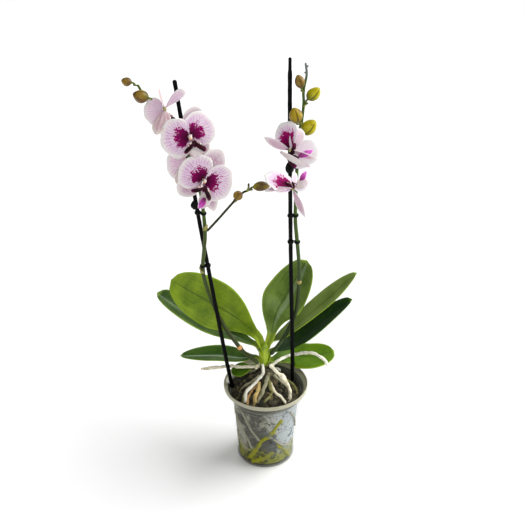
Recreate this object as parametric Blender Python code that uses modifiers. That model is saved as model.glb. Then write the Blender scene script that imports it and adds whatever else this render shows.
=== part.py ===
"""A moth orchid in its clear nursery pot: bark medium, two staked flower spikes, leaves, roots, buds and flowers.

Metres, +Z up. The origin is the middle of the pot's base, and the flowers face -Y.
"""

import math

import bmesh
import bpy
from mathutils import Matrix, Vector

GAP = 0.0004  # left between pieces that touch in the real plant

# The pot: a 12 cm grower's pot with a rolled rim
POT_HEIGHT = 0.125
RIM_RADIUS = 0.060
NECK_RADIUS = 0.0503
NECK_HEIGHT = 0.109
BASE_RADIUS = 0.0415
BASE_CORNER = 0.003
WALL = 0.0012
FLOOR = 0.002
DRAIN_RADIUS = 0.004
DRAIN_CIRCLE = 0.026
DRAIN_COUNT = 8

# The medium: bark that rises as a mound of roots to the crown
MEDIUM_TOP = ((0.0, 0.1490), (0.010, 0.144), (0.022, 0.131), (0.034, 0.121), (0.044, 0.114), (0.0485, 0.112))

# The crown, a short stem that everything grows from
CROWN_AXIS = Vector((-0.003, 0.001, 0.0))
CROWN = ((0.0, 0.205), (0.004, 0.203), (0.0065, 0.194), (0.0080, 0.180), (0.0085, 0.164), (0.0070, 0.155),
         (0.0045, 0.1505), (0.0, 0.1497))

STAKE_RADIUS = 0.0025
STAKES = {
    "stake_left": ((-0.036, 0.006, 0.012), (-0.0432, 0.007, 0.100), (-0.0445, 0.007, 0.107),
                   (-0.050, 0.008, 0.1215), (-0.061, 0.010, 0.190), (-0.079, 0.014, 0.312),
                   (-0.0905, 0.017, 0.392), (-0.115, 0.026, 0.576)),
    "stake_right": ((0.0355, 0.012, 0.012), (0.0380, 0.012, 0.120), (0.0375, 0.012, 0.184),
                    (0.0335, 0.012, 0.328), (0.030, 0.012, 0.520), (0.029, 0.012, 0.612)),
}

# Each spike: its route from the crown to its tip, and its radius at the foot and at the tip
SPIKES = {
    "spike_left": (
        ((-0.0125, -0.008, 0.166), (-0.018, -0.006, 0.170), (-0.031, 0.002, 0.176), (-0.040, 0.007, 0.186),
         (-0.052, 0.013, 0.201), (-0.065, 0.020, 0.223), (-0.078, 0.019, 0.261), (-0.085, 0.014, 0.295),
         (-0.0855, 0.012, 0.314), (-0.083, 0.008, 0.340), (-0.081, 0.009, 0.365), (-0.083, 0.0155, 0.396),
         (-0.086, 0.013, 0.425), (-0.094, 0.011, 0.459), (-0.104, 0.012, 0.490), (-0.116, 0.016, 0.515),
         (-0.129, 0.020, 0.533), (-0.145, 0.022, 0.550), (-0.155, 0.021, 0.561), (-0.160, 0.020, 0.571)),
        0.0028, 0.0012),
    "side_branch": (
        ((-0.0773, 0.0085, 0.3695), (-0.061, 0.009, 0.389), (-0.041, 0.011, 0.413), (-0.030, 0.008, 0.4265),
         (-0.0235, 0.005, 0.4315), (-0.0225, 0.005, 0.4405)),
        0.0014, 0.0009),
    "spike_right": (
        ((0.0085, -0.006, 0.180), (0.017, 0.002, 0.187), (0.027, 0.014, 0.196), (0.035, 0.021, 0.211),
         (0.040, 0.021, 0.224), (0.0435, 0.018, 0.245), (0.0455, 0.013, 0.290), (0.0445, 0.012, 0.320),
         (0.041, 0.012, 0.359), (0.039, 0.0125, 0.382), (0.039, 0.015, 0.412), (0.040, 0.019, 0.454),
         (0.040, 0.020, 0.489), (0.041, 0.018, 0.506), (0.0445, 0.015, 0.522), (0.047, 0.015, 0.547),
         (0.0465, 0.015, 0.566), (0.050, 0.015, 0.587), (0.0485, 0.015, 0.602)),
        0.0028, 0.0011),
}

# Each leaf: its midrib from foot to tip, the way across its blade, its width and how far its edges lift
LEAVES = {
    "leaf_1": (((-0.0125, 0.008, 0.201), (-0.043, 0.030, 0.217), (-0.086, 0.046, 0.236), (-0.134, 0.062, 0.258)),
               (0.25, 0.52, 0.80), 0.068, 0.10),
    "leaf_2": (((-0.0145, 0.007, 0.184), (-0.054, 0.032, 0.190), (-0.105, 0.049, 0.207), (-0.155, 0.066, 0.234)),
               (0.15, 0.90, 0.20), 0.050, 0.30),
    "leaf_3": (((-0.0140, 0.006, 0.164), (-0.036, 0.024, 0.151), (-0.070, 0.040, 0.144), (-0.124, 0.042, 0.141)),
               (0.10, 0.99, 0.10), 0.034, 0.25),
    "leaf_4": (((-0.0145, 0.006, 0.1500), (-0.026, 0.008, 0.143), (-0.038, 0.011, 0.138), (-0.049, 0.014, 0.134)),
               (0.30, 0.95, 0.0), 0.017, 0.20),
    "leaf_5": (((0.0070, 0.007, 0.201), (0.014, 0.029, 0.222), (0.030, 0.056, 0.239), (0.058, 0.073, 0.284)),
               (0.90, -0.15, -0.35), 0.060, 0.12),
    "leaf_6": (((0.0085, 0.008, 0.190), (0.034, 0.033, 0.192), (0.084, 0.042, 0.235), (0.127, 0.046, 0.280)),
               (-0.25, 0.90, 0.15), 0.032, 0.30),
    "leaf_7": (((0.0080, 0.006, 0.174), (0.039, 0.036, 0.167), (0.077, 0.042, 0.197), (0.122, 0.046, 0.236)),
               (-0.10, 0.95, 0.20), 0.040, 0.30),
    "leaf_8": (((0.0078, 0.006, 0.158), (0.036, 0.034, 0.147), (0.064, 0.032, 0.146), (0.099, 0.042, 0.149)),
               (0.0, 0.98, 0.18), 0.052, 0.10),
}
LEAF_THICKNESS = 0.0016
LEAF_ROWS = 10
LEAF_WIDEST = 0.58  # where along a leaf its blade is widest
LEAF_FOOT = 0.22  # the foot's width, as a share of the widest

# Each root: its route from the crown, and its radius
ROOTS = {
    "root_front_left": (((-0.0040, -0.0110, 0.163), (-0.004, -0.016, 0.152), (-0.014, -0.022, 0.141),
                         (-0.027, -0.030, 0.130), (-0.029, -0.034, 0.117), (-0.027, -0.031, 0.104)), 0.0023),
    "root_front_right": (((0.0065, -0.0085, 0.160), (0.014, -0.014, 0.155), (0.025, -0.017, 0.144),
                          (0.033, -0.021, 0.131), (0.034, -0.026, 0.119), (0.030, -0.026, 0.104)), 0.0023),
    "air_root_left": (((-0.0115, -0.0065, 0.157), (-0.036, 0.001, 0.151), (-0.046, 0.010, 0.146),
                       (-0.055, 0.0145, 0.142), (-0.073, 0.017, 0.138), (-0.092, 0.018, 0.135)), 0.0022),
    "air_root_right": (((0.0085, -0.0045, 0.158), (0.021, 0.001, 0.165), (0.035, 0.019, 0.158),
                        (0.049, 0.018, 0.162), (0.063, 0.012, 0.168), (0.074, 0.008, 0.166),
                        (0.084, 0.004, 0.160), (0.087, 0.002, 0.153)), 0.0022),
    "root_mound_yellow": (((-0.0095, -0.0215, 0.1335), (-0.011, -0.028, 0.130), (-0.014, -0.036, 0.124),
                           (-0.014, -0.034, 0.108)), 0.0026),
    "root_mound_grey": (((0.004, -0.013, 0.147), (0.003, -0.020, 0.141), (0.000, -0.029, 0.133),
                         (-0.002, -0.033, 0.108)), 0.0026),
}

# Each bud: the middle of the bud, the way it points, its length and width, and where its stalk leaves the spike
BUDS = {
    "bud_left_tip": ((-0.174, 0.019, 0.577), (-1.0, 0.0, 0.25), 0.0135, 0.0115, (-0.160, 0.020, 0.571)),
    "bud_left_large": ((-0.156, 0.006, 0.562), (-0.95, -0.2, 0.35), 0.0200, 0.0155, (-0.145, 0.024, 0.549)),
    "bud_branch_round": ((-0.036, -0.002, 0.428), (0.15, -0.75, 0.6), 0.0140, 0.0130, (-0.041, 0.011, 0.413)),
    "bud_branch_long": ((-0.006, 0.004, 0.4375), (1.0, 0.0, 0.10), 0.0225, 0.0110, (-0.0235, 0.005, 0.4315)),
    "bud_right_1": ((0.040, 0.009, 0.581), (-0.25, -0.1, 1.0), 0.0165, 0.0120, (0.0465, 0.015, 0.566)),
    "bud_right_2": ((0.0585, 0.013, 0.562), (0.77, 0.0, 0.63), 0.0180, 0.0150, (0.047, 0.015, 0.547)),
    "bud_right_3": ((0.036, 0.003, 0.537), (-0.15, -0.2, 1.0), 0.0215, 0.0160, (0.0445, 0.015, 0.522)),
    "bud_right_4": ((0.0545, 0.013, 0.518), (0.75, -0.1, 0.65), 0.0220, 0.0180, (0.041, 0.018, 0.506)),
}
STALK_RADIUS = 0.0013
STALK_CLEAR = 0.0042  # how far from the spike's middle a stalk starts

# Each flower: its middle, turn about Z, tilt up and roll in degrees, width, and where its stalk meets the spike
FLOWERS = {
    "flower_1": ((-0.131, 0.050, 0.527), -140, 0, -30, 0.060, (-0.123, 0.018, 0.524)),
    "flower_2": ((-0.096, -0.006, 0.514), 12, 5, 10, 0.068, (-0.104, 0.012, 0.490)),
    "flower_3": ((-0.099, 0.056, 0.444), 180, 0, -15, 0.066, (-0.087, 0.0127, 0.430)),
    "flower_4": ((-0.079, -0.015, 0.457), 10, 5, -32, 0.070, (-0.092, 0.0115, 0.452)),
    "flower_5": ((0.030, -0.018, 0.500), 23, 16, -52, 0.062, (0.040, 0.020, 0.484)),
    "flower_6": ((0.034, -0.025, 0.449), 60, 42, -50, 0.058, (0.0397, 0.0165, 0.432)),
}
FLOWER_UNIT = 0.070  # the width that the shapes below are drawn at
PETAL_LENGTH = 0.033
PETAL_WIDTH = 0.050
PETAL_WIDEST = 0.45  # where along a petal it is broadest
PETAL_RISE = 0.006  # how far a petal's middle climbs towards its outer edge
SEPAL_LENGTH = 0.034
SEPAL_WIDTH = 0.022
PETAL_THICKNESS = 0.0012
COLUMN_RADIUS = 0.0034
COLUMN_LENGTH = 0.013
COLUMN_FORWARD = 0.0085  # how far the column reaches in front of the flower's middle
# The lip's outline in the flower's plane: its right half, from the top, round an arm, to the middle lobe's tip
LIP_OUTLINE = ((0.0028, -0.0050), (0.0048, -0.0072), (0.0120, -0.0125), (0.0128, -0.0150), (0.0110, -0.0166),
               (0.0085, -0.0160), (0.0030, -0.0112), (0.0026, -0.0165), (0.0, -0.0190))
LIP_THICKNESS = 0.0030
LIP_FORWARD = 0.0075
LIP_LEAN = 78

# Each clip: a point on the stake, a point on the spike beside it, and a wing that stands up from it, if it has one
CLIPS = {
    "clip_left_lower": ((-0.079, 0.014, 0.312), (-0.0855, 0.0125, 0.312), None),
    "clip_left_upper": ((-0.0905, 0.017, 0.392), (-0.0828, 0.0147, 0.392), (-0.008, -0.004, 0.014)),
    "clip_right_lower": ((0.0330, 0.012, 0.350), (0.0418, 0.012, 0.350), None),
    "clip_right_middle": ((0.0325, 0.012, 0.390), (0.0390, 0.0132, 0.390), None),
    "clip_right_upper": ((0.0315, 0.012, 0.458), (0.0400, 0.0190, 0.458), (-0.004, 0.004, 0.010)),
}
CLIP_HEIGHT = 0.0050
CLIP_WALL = 0.0012
CLIP_BORE = 0.0036
CLIP_TAB = 0.0035

COLOURS = {
    "pot_plastic": ((0.62, 0.64, 0.60), 0.25, 0.45),
    "medium": ((0.055, 0.040, 0.030), 0.95, 1.0),
    "crown": ((0.36, 0.50, 0.03), 0.45, 1.0),
    "leaf": ((0.10, 0.24, 0.03), 0.30, 1.0),
    "stem": ((0.06, 0.12, 0.03), 0.50, 1.0),
    "root": ((0.66, 0.64, 0.52), 0.80, 1.0),
    "bud": ((0.42, 0.36, 0.05), 0.45, 1.0),
    "petal": ((0.80, 0.68, 0.76), 0.55, 1.0),
    "lip": ((0.10, 0.003, 0.03), 0.40, 1.0),
    "stake_plastic": ((0.012, 0.012, 0.015), 0.45, 1.0),
}


def clear_scene():
    for obj in list(bpy.data.objects):
        bpy.data.objects.remove(obj)


def new_collection(name):
    collection = bpy.data.collections.new(name)
    bpy.context.scene.collection.children.link(collection)
    return collection


def make_material(name, colour, roughness, alpha):
    material = bpy.data.materials.new(name)
    material.use_nodes = True
    shader = material.node_tree.nodes["Principled BSDF"]
    shader.inputs["Base Color"].default_value = (*colour, 1.0)
    shader.inputs["Roughness"].default_value = roughness
    shader.inputs["Metallic"].default_value = 0.0
    shader.inputs["Alpha"].default_value = alpha
    return material


def place(name, data, slot, collection, matrix=None):
    """Link an object for this mesh or curve, with its material."""
    obj = bpy.data.objects.new(name, data)
    collection.objects.link(obj)
    data.materials.clear()
    data.materials.append(MATERIALS[slot])
    if matrix is not None:
        obj.matrix_world = matrix
    return obj


def evaluated_mesh(obj):
    """The object's mesh with its modifiers applied and a curve's loose caps welded."""
    bpy.context.view_layer.update()
    graph = bpy.context.evaluated_depsgraph_get()
    mesh = bpy.data.meshes.new_from_object(obj.evaluated_get(graph))
    cleaned = bmesh.new()
    cleaned.from_mesh(mesh)
    bmesh.ops.remove_doubles(cleaned, verts=cleaned.verts, dist=1e-6)
    bmesh.ops.recalc_face_normals(cleaned, faces=cleaned.faces)
    cleaned.to_mesh(mesh)
    cleaned.free()
    return mesh


def as_cutter(obj):
    obj.hide_render = True
    obj.display_type = "WIRE"


def united(name, pieces, slot):
    """One solid from several overlapping ones, by a Boolean union of each with the first."""
    first = pieces[0]
    for other in pieces[1:]:
        union = first.modifiers.new("Union", "BOOLEAN")
        union.operation = "UNION"
        union.object = other
    mesh = evaluated_mesh(first)
    for piece in pieces:
        bpy.data.objects.remove(piece)
    mesh.name = name
    return place(name, mesh, slot, PLANT)


def turned(name, profile, steps, slot, collection, matrix=None):
    """A profile of (radius, height) points, running down its outer side, turned about Z."""
    mesh = bpy.data.meshes.new(name)
    outline = bmesh.new()
    points = [outline.verts.new((radius, 0.0, height)) for radius, height in profile]
    for start, end in zip(points, points[1:]):
        outline.edges.new((start, end))
    outline.to_mesh(mesh)
    outline.free()
    obj = place(name, mesh, slot, collection, matrix)
    screw = obj.modifiers.new("Screw", "SCREW")
    screw.steps = steps
    screw.render_steps = steps
    screw.use_merge_vertices = True
    screw.merge_threshold = 0.00005
    screw.use_smooth_shade = True
    return obj


def tube(name, route, radii, slot, collection, matrix=None, resolution=2):
    """A round stem through the route's points, with a radius at each."""
    curve = bpy.data.curves.new(name, "CURVE")
    curve.dimensions = "3D"
    curve.bevel_depth = 1.0
    curve.bevel_resolution = resolution
    curve.use_fill_caps = True
    spline = curve.splines.new("POLY")
    spline.points.add(len(route) - 1)
    for point, position, radius in zip(spline.points, route, radii):
        point.co = (*position, 1.0)
        point.radius = radius
    spline.use_smooth = True
    return place(name, curve, slot, collection, matrix)


def cylinder(name, radius, length, middle, axis, collection, slot, sides=12):
    mesh = bpy.data.meshes.new(name)
    shape = bmesh.new()
    turn = axis.to_track_quat("Z", "Y").to_matrix().to_4x4()
    bmesh.ops.create_cone(shape, cap_ends=True, segments=sides, radius1=radius, radius2=radius, depth=length,
                          matrix=Matrix.Translation(middle) @ turn)
    shape.to_mesh(mesh)
    shape.free()
    return place(name, mesh, slot, collection)


def sheet(name, surface, rows, columns, thickness, slot, collection, matrix=None):
    """A thin blade: surface(along, across) for along 0 to 1 and across -1 to 1, thickened about its middle."""
    mesh = bpy.data.meshes.new(name)
    blade = bmesh.new()
    grid = [[blade.verts.new(surface(row / rows, 2 * column / columns - 1)) for column in range(columns + 1)]
            for row in range(rows + 1)]
    for near, far in zip(grid, grid[1:]):
        for column in range(columns):
            blade.faces.new((near[column], near[column + 1], far[column + 1], far[column]))
    blade.to_mesh(mesh)
    blade.free()
    mesh.shade_smooth()
    obj = place(name, mesh, slot, collection, matrix)
    solidify = obj.modifiers.new("Solidify", "SOLIDIFY")
    solidify.thickness = thickness
    solidify.offset = 0.0
    return obj


def along_route(route, share):
    """The point and direction at a share of the way along a smooth curve through the route."""
    points = [Vector(point) for point in route]
    points = [2 * points[0] - points[1], *points, 2 * points[-1] - points[-2]]
    place_on = min(share, 0.99999) * (len(route) - 1)
    step = int(place_on)
    t = place_on - step
    a, b, c, d = points[step:step + 4]
    point = 0.5 * (2 * b + (c - a) * t + (2 * a - 5 * b + 4 * c - d) * t ** 2 + (3 * b - a - 3 * c + d) * t ** 3)
    heading = 0.5 * ((c - a) + 2 * (2 * a - 5 * b + 4 * c - d) * t + 3 * (3 * b - a - 3 * c + d) * t ** 2)
    return point, heading.normalized()


def blend(start, end, share):
    return start + (end - start) * share


def wall_radius(height):
    """The pot wall's outer radius below its neck."""
    return blend(BASE_RADIUS, NECK_RADIUS, height / NECK_HEIGHT)


def make_pot():
    outer = [(0.0590, POT_HEIGHT), (RIM_RADIUS, POT_HEIGHT - 0.001), (RIM_RADIUS, 0.1185), (0.0590, 0.1178),
             (0.0560, 0.1172), (0.0528, 0.1135), (NECK_RADIUS, NECK_HEIGHT), (BASE_RADIUS, BASE_CORNER),
             (BASE_RADIUS - 0.3 * BASE_CORNER, 0.3 * BASE_CORNER), (BASE_RADIUS - BASE_CORNER, 0.0), (0.0, 0.0)]
    inner = [(0.0, FLOOR), (BASE_RADIUS - BASE_CORNER, FLOOR), (BASE_RADIUS - WALL, BASE_CORNER + 0.001),
             (NECK_RADIUS - WALL, NECK_HEIGHT), (0.0520, 0.1145), (0.0550, 0.1185), (0.0575, 0.1195),
             (0.0582, POT_HEIGHT - 0.0003), (0.0590, POT_HEIGHT)]
    pot = turned("pot", outer + inner, 36, "pot_plastic", PLANT)
    for index in range(DRAIN_COUNT):
        turn = 2 * math.pi * index / DRAIN_COUNT
        middle = Vector((DRAIN_CIRCLE * math.cos(turn), DRAIN_CIRCLE * math.sin(turn), FLOOR / 2))
        hole = cylinder(f"drain_{index + 1}", DRAIN_RADIUS, 4 * FLOOR, middle, Vector((0, 0, 1)), CUTTERS,
                        "pot_plastic", sides=10)
        as_cutter(hole)
        cut = pot.modifiers.new(f"Drain {index + 1}", "BOOLEAN")
        cut.operation = "DIFFERENCE"
        cut.object = hole


def make_medium(buried):
    """Bark that fills the pot, with a hole for each stake and root that goes down into it."""
    foot = FLOOR + GAP
    rim_height = MEDIUM_TOP[-1][1]
    profile = [*MEDIUM_TOP, (wall_radius(rim_height) - WALL - 2 * GAP, rim_height - 0.003),
               (BASE_RADIUS - WALL - GAP, BASE_CORNER + 0.002), (BASE_RADIUS - BASE_CORNER - GAP, foot), (0.0, foot)]
    medium = turned("growing_medium", profile, 28, "medium", PLANT)
    for name, route, radius in buried:
        cutter = tube(name + "_hole", stretched(route, GAP), [radius + GAP] * len(route), "medium", CUTTERS)
        mesh = evaluated_mesh(cutter)
        bpy.data.objects.remove(cutter)
        hole = place(name + "_hole", mesh, "medium", CUTTERS)
        as_cutter(hole)
        cut = medium.modifiers.new(name, "BOOLEAN")
        cut.operation = "DIFFERENCE"
        cut.object = hole


def stretched(route, by):
    """The route with its last point carried on a little, so that a hole runs past what it holds."""
    last = Vector(route[-1])
    before = Vector(route[-2])
    return [*route[:-1], tuple(last + (last - before).normalized() * by)]


def make_stake(name):
    route = STAKES[name]
    tube(name, route, [STAKE_RADIUS] * len(route), "stake_plastic", PLANT)


def make_spike(name):
    route, foot, tip = SPIKES[name]
    radii = [blend(foot, tip, (index / (len(route) - 1)) ** 1.5) for index in range(len(route))]
    tube(name, route, radii, "stem", PLANT)


def blade_width(share):
    """How wide a leaf is along its length, as a share of its widest: a narrow foot, a full middle, a blunt tip."""
    if share < LEAF_WIDEST:
        swell = 0.5 - 0.5 * math.cos(math.pi * share / LEAF_WIDEST)
        return blend(LEAF_FOOT, 1.0, swell)
    past = (share - LEAF_WIDEST) / (1 - LEAF_WIDEST)
    return max(0.05, math.sqrt(max(0.0, 1 - past ** 2.2)))


def make_leaf(name):
    route, across, width, fold = LEAVES[name]

    def surface(share, side):
        point, heading = along_route(route, share)
        sideways = Vector(across)
        sideways = (sideways - sideways.dot(heading) * heading).normalized()
        lift = sideways.cross(heading)
        if lift.z < 0:
            lift.negate()
        half = 0.5 * width * blade_width(share)
        return point + sideways * side * half + lift * fold * abs(side) * half

    sheet(name, surface, LEAF_ROWS, 4, LEAF_THICKNESS, "leaf", PLANT)


def make_root(name):
    route, radius = ROOTS[name]
    radii = [radius] * (len(route) - 1) + [0.6 * radius]
    tube(name, route, radii, "root", PLANT)


def stalk_route(foot, top, leaves_along):
    """A stalk from beside the spike at foot to top, which it meets along the given direction."""
    foot, top = Vector(foot), Vector(top)
    behind = top - leaves_along.normalized() * 0.2 * (top - foot).length
    outward = (top - foot) * Vector((1.0, 1.0, 0.35))
    clear_foot = foot + outward.normalized() * STALK_CLEAR
    return [clear_foot, clear_foot.lerp(behind, 0.6), behind.lerp(top, 0.4)]


def make_bud(name):
    """A bud and its stalk, as one tube whose radius swells and closes."""
    middle, points_along, length, width, foot = BUDS[name]
    heading = Vector(points_along).normalized()
    base = Vector(middle) - heading * length / 2
    route = stalk_route(foot, base, heading)
    radii = [STALK_RADIUS] * len(route)
    for share in (0.0, 0.07, 0.20, 0.38, 0.58, 0.78, 0.92, 1.0):
        route.append(base + heading * length * share)
        swell = math.sqrt(max(0.0, 1 - (2 * share ** 1.08 - 1) ** 2))
        radii.append(max(0.5 * width * swell, 0.0010))
    tube(name, route, radii, "bud", PLANT, resolution=3)


def petal_surface(side):
    """A broad petal that reaches out to one side (-1 left, 1 right) from a narrow claw by the column."""

    def surface(share, across):
        past_middle = (share - PETAL_WIDEST) / (1 - PETAL_WIDEST)
        half = 0.5 * PETAL_WIDTH * max(0.0, 1 - abs(past_middle) ** 2.3) ** 0.5
        half = max(half, 0.0030)
        out = COLUMN_RADIUS + 0.0012 + PETAL_LENGTH * share * (1 - 0.16 * across ** 2)
        up = half * across + PETAL_RISE * share
        forward = -0.0010 - 0.004 * math.sin(math.pi * share) + 0.004 * share ** 2 + 0.003 * across ** 2 * share
        return Vector((side * out, forward, up))

    return surface


def sepal_surface(turn):
    """A sepal that points along the angle turn in the flower's plane, behind the petals."""
    heading = Vector((math.cos(turn), 0.0, math.sin(turn)))
    sideways = Vector((-math.sin(turn), 0.0, math.cos(turn)))

    def surface(share, across):
        half = 0.5 * SEPAL_WIDTH * max(0.16, math.sin(math.pi * min(share, 0.97) ** 0.85) ** 0.8)
        back = 0.0032 + 0.006 * share ** 1.5
        return heading * (0.0022 + SEPAL_LENGTH * share) + sideways * across * half + Vector((0.0, back, 0.0))

    return surface


def make_sepals(name, matrix, foot):
    """Three sepals grown together with the column and the flower's stalk."""
    backward = Vector((0.0, 1.0, 0.0))
    middle = backward * (0.5 * COLUMN_LENGTH - COLUMN_FORWARD)
    column = cylinder("column", COLUMN_RADIUS, COLUMN_LENGTH, middle, backward, CUTTERS, "petal", sides=10)
    pieces = [column]
    for turn in (90, 222, 318):
        blade = sheet("sepal", sepal_surface(math.radians(turn)), 5, 2, PETAL_THICKNESS, "petal", CUTTERS)
        pieces.append(blade)
    local_foot = matrix.inverted() @ Vector(foot)
    route = stalk_route(local_foot, Vector((0.0, 0.0020, 0.0)), -backward)
    route.append(Vector((0.0, 0.0015, 0.0)))
    stalk = tube("stalk", route, [STALK_RADIUS] * 2 + [1.15 * STALK_RADIUS] * 2, "stem", CUTTERS)
    pieces.append(place("stalk_mesh", evaluated_mesh(stalk), "stem", CUTTERS))
    bpy.data.objects.remove(stalk)
    united(name + "_sepals", pieces, "petal").matrix_world = matrix


def make_lip(name, matrix):
    """The two-armed lip, with its middle lobe, hanging in front of the petals."""
    curve = bpy.data.curves.new(name + "_lip", "CURVE")
    curve.dimensions = "2D"
    curve.fill_mode = "BOTH"
    curve.extrude = LIP_THICKNESS / 2
    mirrored = [(-x, z) for x, z in reversed(LIP_OUTLINE[:-1])]
    outline = [*LIP_OUTLINE, *mirrored]
    spline = curve.splines.new("POLY")
    spline.points.add(len(outline) - 1)
    for point, (x, z) in zip(spline.points, outline):
        point.co = (x, z, 0.0, 1.0)
    spline.use_cyclic_u = True
    upright = Matrix.Translation((0.0, -LIP_FORWARD, 0.0)) @ Matrix.Rotation(math.radians(LIP_LEAN), 4, "X")
    place(name + "_lip", curve, "lip", PLANT, matrix @ upright)


def make_flower(name):
    middle, turn, tilt, roll, width, foot = FLOWERS[name]
    facing = (Matrix.Rotation(math.radians(turn), 4, "Z") @ Matrix.Rotation(math.radians(-tilt), 4, "X")
              @ Matrix.Rotation(math.radians(-roll), 4, "Y"))
    size = width / FLOWER_UNIT
    matrix = Matrix.Translation(middle) @ facing @ Matrix.Scale(size, 4)
    for side, word in ((-1, "left"), (1, "right")):
        sheet(f"{name}_petal_{word}", petal_surface(side), 6, 4, PETAL_THICKNESS, "petal", PLANT, matrix)
    make_sepals(name, matrix, foot)
    make_lip(name, matrix)


def loop_outline(half_gap, radius, tab):
    """An oval round two circles at (-half_gap, 0) and (half_gap, 0), with a short tab past the second one."""
    points = []
    for index in range(7):
        turn = math.pi / 2 + math.pi * index / 6
        points.append((-half_gap + radius * math.cos(turn), radius * math.sin(turn)))
    for index in range(7):
        turn = -math.pi / 2 + math.pi * index / 6
        if tab and index == 3:
            reach = half_gap + radius + tab
            points.extend([(reach, -0.0011), (reach, 0.0011)])
        else:
            points.append((half_gap + radius * math.cos(turn), radius * math.sin(turn)))
    return points


def make_clip(name):
    """A flat plastic loop that holds a spike to its stake."""
    on_stake, on_spike, wing = CLIPS[name]
    on_stake, on_spike = Vector(on_stake), Vector(on_spike)
    apart = on_stake - on_spike
    curve = bpy.data.curves.new(name, "CURVE")
    curve.dimensions = "2D"
    curve.fill_mode = "BOTH"
    curve.extrude = CLIP_HEIGHT / 2
    half_gap = apart.length / 2
    for radius, tab in ((CLIP_BORE + CLIP_WALL, CLIP_TAB), (CLIP_BORE, 0.0)):
        outline = loop_outline(half_gap, radius, tab)
        spline = curve.splines.new("POLY")
        spline.points.add(len(outline) - 1)
        for point, (x, y) in zip(spline.points, outline):
            point.co = (x, y, 0.0, 1.0)
        spline.use_cyclic_u = True
    turn = Matrix.Rotation(math.atan2(apart.y, apart.x), 4, "Z")
    loop = place(name, curve, "stake_plastic", PLANT, Matrix.Translation((on_stake + on_spike) / 2) @ turn)
    if wing is None:
        return
    loop_mesh = evaluated_mesh(loop)
    loop_mesh.transform(loop.matrix_world)
    bpy.data.objects.remove(loop)
    solid_loop = place(name + "_loop", loop_mesh, "stake_plastic", CUTTERS)
    root = on_stake + apart.normalized() * (CLIP_BORE + CLIP_WALL + 0.0005)
    tip = root + Vector(wing)
    heading = (tip - root).normalized()
    route = [root, root + heading * 0.004, tip - heading * 0.004, tip, tip + heading * 0.004]
    blade = tube("wing", route, [0.0011, 0.0011, 0.0036, 0.0048, 0.0030], "stake_plastic", CUTTERS)
    blade_mesh = evaluated_mesh(blade)
    bpy.data.objects.remove(blade)
    united(name, [solid_loop, place("wing", blade_mesh, "stake_plastic", CUTTERS)], "stake_plastic")


def main():
    make_pot()
    turned("crown", CROWN, 14, "crown", PLANT, Matrix.Translation(CROWN_AXIS))
    for name in STAKES:
        make_stake(name)
    for name in SPIKES:
        make_spike(name)
    for name in LEAVES:
        make_leaf(name)
    for name in ROOTS:
        make_root(name)
    for name in BUDS:
        make_bud(name)
    for name in FLOWERS:
        make_flower(name)
    for name in CLIPS:
        make_clip(name)
    buried = [(name, route[::-1], STAKE_RADIUS) for name, route in STAKES.items()]
    buried += [(name, *ROOTS[name]) for name in ROOTS if name.startswith("root")]
    make_medium(buried)


clear_scene()
PLANT = new_collection("potted_orchid")
CUTTERS = new_collection("cutters")
MATERIALS = {slot: make_material(slot, *look) for slot, look in COLOURS.items()}
main()
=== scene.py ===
"""How the potted moth orchid looks: its detailed plant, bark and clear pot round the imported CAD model."""

import math
import random

import bmesh
import bpy
import numpy as np
from mathutils import Matrix, Vector, noise


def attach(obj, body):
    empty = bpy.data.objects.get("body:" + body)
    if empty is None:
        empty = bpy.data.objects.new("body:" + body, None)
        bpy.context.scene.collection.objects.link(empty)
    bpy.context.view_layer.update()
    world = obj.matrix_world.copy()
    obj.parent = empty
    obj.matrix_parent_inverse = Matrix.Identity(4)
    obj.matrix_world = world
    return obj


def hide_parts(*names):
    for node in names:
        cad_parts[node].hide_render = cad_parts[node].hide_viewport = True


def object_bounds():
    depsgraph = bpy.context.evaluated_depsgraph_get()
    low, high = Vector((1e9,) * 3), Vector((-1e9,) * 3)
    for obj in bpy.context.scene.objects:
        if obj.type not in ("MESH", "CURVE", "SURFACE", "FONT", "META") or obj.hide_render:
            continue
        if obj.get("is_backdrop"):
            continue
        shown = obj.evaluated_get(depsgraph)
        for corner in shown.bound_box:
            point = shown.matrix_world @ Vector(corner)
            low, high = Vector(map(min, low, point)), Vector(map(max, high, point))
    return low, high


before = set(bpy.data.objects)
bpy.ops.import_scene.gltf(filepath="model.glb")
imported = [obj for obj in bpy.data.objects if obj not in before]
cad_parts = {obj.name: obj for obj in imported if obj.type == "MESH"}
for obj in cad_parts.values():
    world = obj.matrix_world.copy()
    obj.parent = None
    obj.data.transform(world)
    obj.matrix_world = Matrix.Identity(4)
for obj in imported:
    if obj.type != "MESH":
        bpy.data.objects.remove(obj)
CAD_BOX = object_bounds()

FRONT = Vector((0.0, -1.0, 0.0))


def metres(sizes):
    """Sizes in millimetres, alone or in tuples and tables, as metres."""
    if isinstance(sizes, dict):
        return {name: metres(size) for name, size in sizes.items()}
    if isinstance(sizes, tuple):
        return tuple(metres(size) for size in sizes)
    return sizes / 1000 if isinstance(sizes, (int, float)) else sizes


def blend(start, end, share):
    return start + (end - start) * share


# ---------------------------------------------------------------- materials


class Value:
    """A number, vector or colour that a look's nodes work out. Numbers take part in plain sums."""

    def __init__(self, look, socket):
        self.look = look
        self.socket = socket

    def __add__(self, other):
        return self.look.maths("ADD", self, other)

    def __sub__(self, other):
        return self.look.maths("SUBTRACT", self, other)

    def __mul__(self, other):
        return self.look.maths("MULTIPLY", self, other)

    def __abs__(self):
        return self.look.maths("ABSOLUTE", self)


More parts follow.
